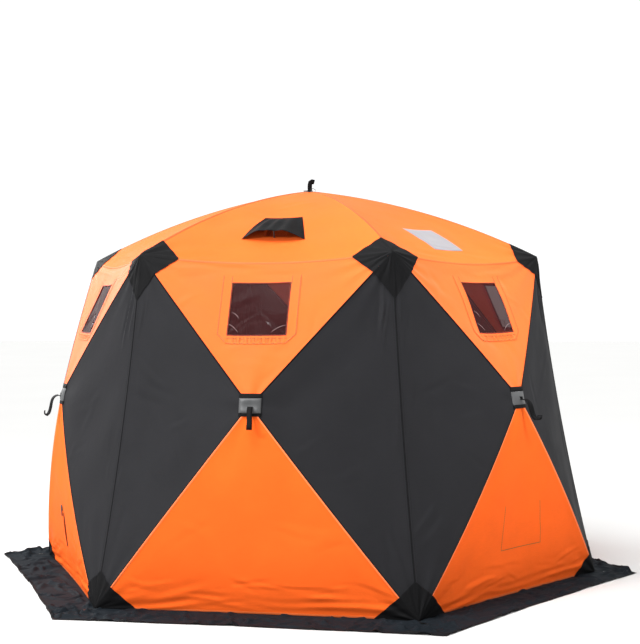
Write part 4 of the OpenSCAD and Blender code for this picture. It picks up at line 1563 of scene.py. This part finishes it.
class HUT_OT_skirt(bpy.types.Operator):
    """The black ground skirt, lying in wrinkles round the hut, mitred at its corners"""

    bl_idname = "hut.skirt"
    bl_label = "Ground skirt"

    def execute(self, context):
        skirt = Skirt(context.scene.hut_sizes)
        whole = gather([skirt.side(j) for j in WALLS], 0.0006)
        skirt.punch(whole)
        piece = make_piece("skirt_cloth", whole, "ground", ["ground_skirt"])
        make_piece("skirt_hems", gather([skirt.hem(j) for j in WALLS]), "blackline")
        make_piece("skirt_mitre_seams", gather([skirt.mitre(j) for j in WALLS]), "blackline")
        return {"FINISHED"}


class HUT_OT_frame(bpy.types.Operator):
    """The finishes of the poles, hubs and eyelets that the cloth hangs on"""

    bl_idname = "hut.frame"
    bl_label = "Poles, joints and eyelets"

    def execute(self, context):
        for names, finish in (
            (("roof_poles", "wall_poles", "vent_props"), "pole"),
            (("roof_hub", "wall_hubs", "corner_joints"), "nylon"),
            (("skirt_eyelets",), "brass"),
        ):
            for name in names:
                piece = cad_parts[name]
                piece.data.materials.clear()
                piece.data.materials.append(finish_of(finish))
        return {"FINISHED"}


# Each softbox: its name, where it stands, what it points at, its size, spread in degrees and power.
SOFTBOXES = (
    ("front_left_softbox", (-3.4, -5.4, 3.9), (0, -1.3, 0.9), 0.45, 150, 150),
    ("left_softbox", (-4.9, -2.6, 5.6), (0, 0, 1.2), 2.6, 120, 100),
    ("left_rear_softbox", (-5.4, 2.6, 4.6), (0, 0, 1.2), 3.0, 120, 140),
    ("right_softbox", (3.4, -2.6, 5.4), (1.15, -0.65, 1.5), 1.2, 24, 10),
)
SUN_FROM = Vector((-0.26, -0.33, 0.91))
EYE, TURN, TILT, ROLL = (1.6003, -7.6637, 1.4359), -11.409, -0.768, -0.277


def lay_floor():
    """A wide paper floor under the hut."""
    bm = bmesh.new()
    bmesh.ops.create_grid(bm, x_segments=2, y_segments=2, size=45)
    new_object("paper_floor", new_mesh("paper_floor", bm, studio_floor("seamless_paper")))


def light_room(scene):
    """White walls all round. Their light is dimmer than they look."""
    world = bpy.data.worlds.new("studio")
    scene.world = world
    world.use_nodes = True
    tree = world.node_tree
    sky = tree.nodes["Background"]
    sky.inputs["Color"].default_value = (1, 1, 1, 1)
    path = add_node(tree, "ShaderNodeLightPath")
    seen = {"Value": path.outputs["Is Camera Ray"]}
    level = add_node(tree, "ShaderNodeMapRange", {"To Min": 0.85, "To Max": 1.1}, seen)
    connect(tree, sky, {"Strength": level.outputs[0]})


def facing(way, axis="Z"):
    return Vector(way).to_track_quat(axis, "Y")


def place_lights():
    """A broad light overhead and softboxes round the hut."""
    sun = bpy.data.lights.new("overhead_softbox", "SUN")
    sun.energy = 3.9
    sun.angle = math.radians(40)
    new_object("overhead_softbox", sun).rotation_euler = facing(SUN_FROM).to_euler()
    for name, place, target, size, spread, power in SOFTBOXES:
        light = bpy.data.lights.new(name, "AREA")
        light.shape = "SQUARE"
        light.size = size
        light.energy = power
        light.spread = math.radians(spread)
        lamp = new_object(name, light)
        lamp.location = place
        lamp.rotation_euler = facing(Vector(place) - Vector(target)).to_euler()


def place_camera(scene):
    """The camera, from in front and a little to the right."""
    camera = bpy.data.cameras.new("camera")
    camera.sensor_width = 36.0
    camera.lens = 79.37
    eye = new_object("camera", camera)
    turn, tilt, roll = (math.radians(angle) for angle in (TURN, TILT, ROLL))
    ahead = (math.cos(tilt) * math.sin(turn), math.cos(tilt) * math.cos(turn), math.sin(tilt))
    aimed = facing(ahead, "-Z").to_matrix().to_4x4()
    eye.matrix_world = Matrix.Translation(EYE) @ aimed @ Matrix.Rotation(roll, 4, "Z")
    scene.camera = eye


class HUT_OT_stage(bpy.types.Operator):
    """A white paper floor, soft light and the camera"""

    bl_idname = "hut.stage"
    bl_label = "Stage"

    def execute(self, context):
        lay_floor()
        light_room(context.scene)
        place_lights()
        place_camera(context.scene)
        context.scene.view_settings.view_transform = "Standard"
        return {"FINISHED"}


OPERATORS = (
    HUT_OT_stage,
    HUT_OT_roof,
    HUT_OT_walls,
    HUT_OT_seams,
    HUT_OT_windows,
    HUT_OT_vents,
    HUT_OT_patches,
    HUT_OT_hubs,
    HUT_OT_peak,
    HUT_OT_ports,
    HUT_OT_skirt,
    HUT_OT_frame,
)


class HUT_PT_panel(bpy.types.Panel):
    """Lists the hut's sizes, colours and pieces"""

    bl_idname = "HUT_PT_panel"
    bl_label = "Ice Hut"
    bl_space_type = "VIEW_3D"
    bl_region_type = "UI"
    bl_category = "Ice Hut"

    def draw(self, context):
        for group in (context.scene.hut_sizes, context.scene.hut_colours):
            for name in type(group).__annotations__:
                self.layout.prop(group, name)
        for operator in OPERATORS:
            self.layout.operator(operator.bl_idname)


CLASSES = (HutSizes, HutColours, *OPERATORS, HUT_PT_panel)


def register():
    for cls in CLASSES:
        bpy.utils.register_class(cls)
    bpy.types.Scene.hut_sizes = PointerProperty(type=HutSizes)
    bpy.types.Scene.hut_colours = PointerProperty(type=HutColours)


def unregister():
    del bpy.types.Scene.hut_colours
    del bpy.types.Scene.hut_sizes
    for cls in reversed(CLASSES):
        bpy.utils.unregister_class(cls)


def main():
    """Makes every piece in order."""
    register()
    for operator in OPERATORS:
        group, name = operator.bl_idname.split(".")
        getattr(getattr(bpy.ops, group), name)()
    bpy.context.view_layer.update()


if __name__ == "__main__":
    main()
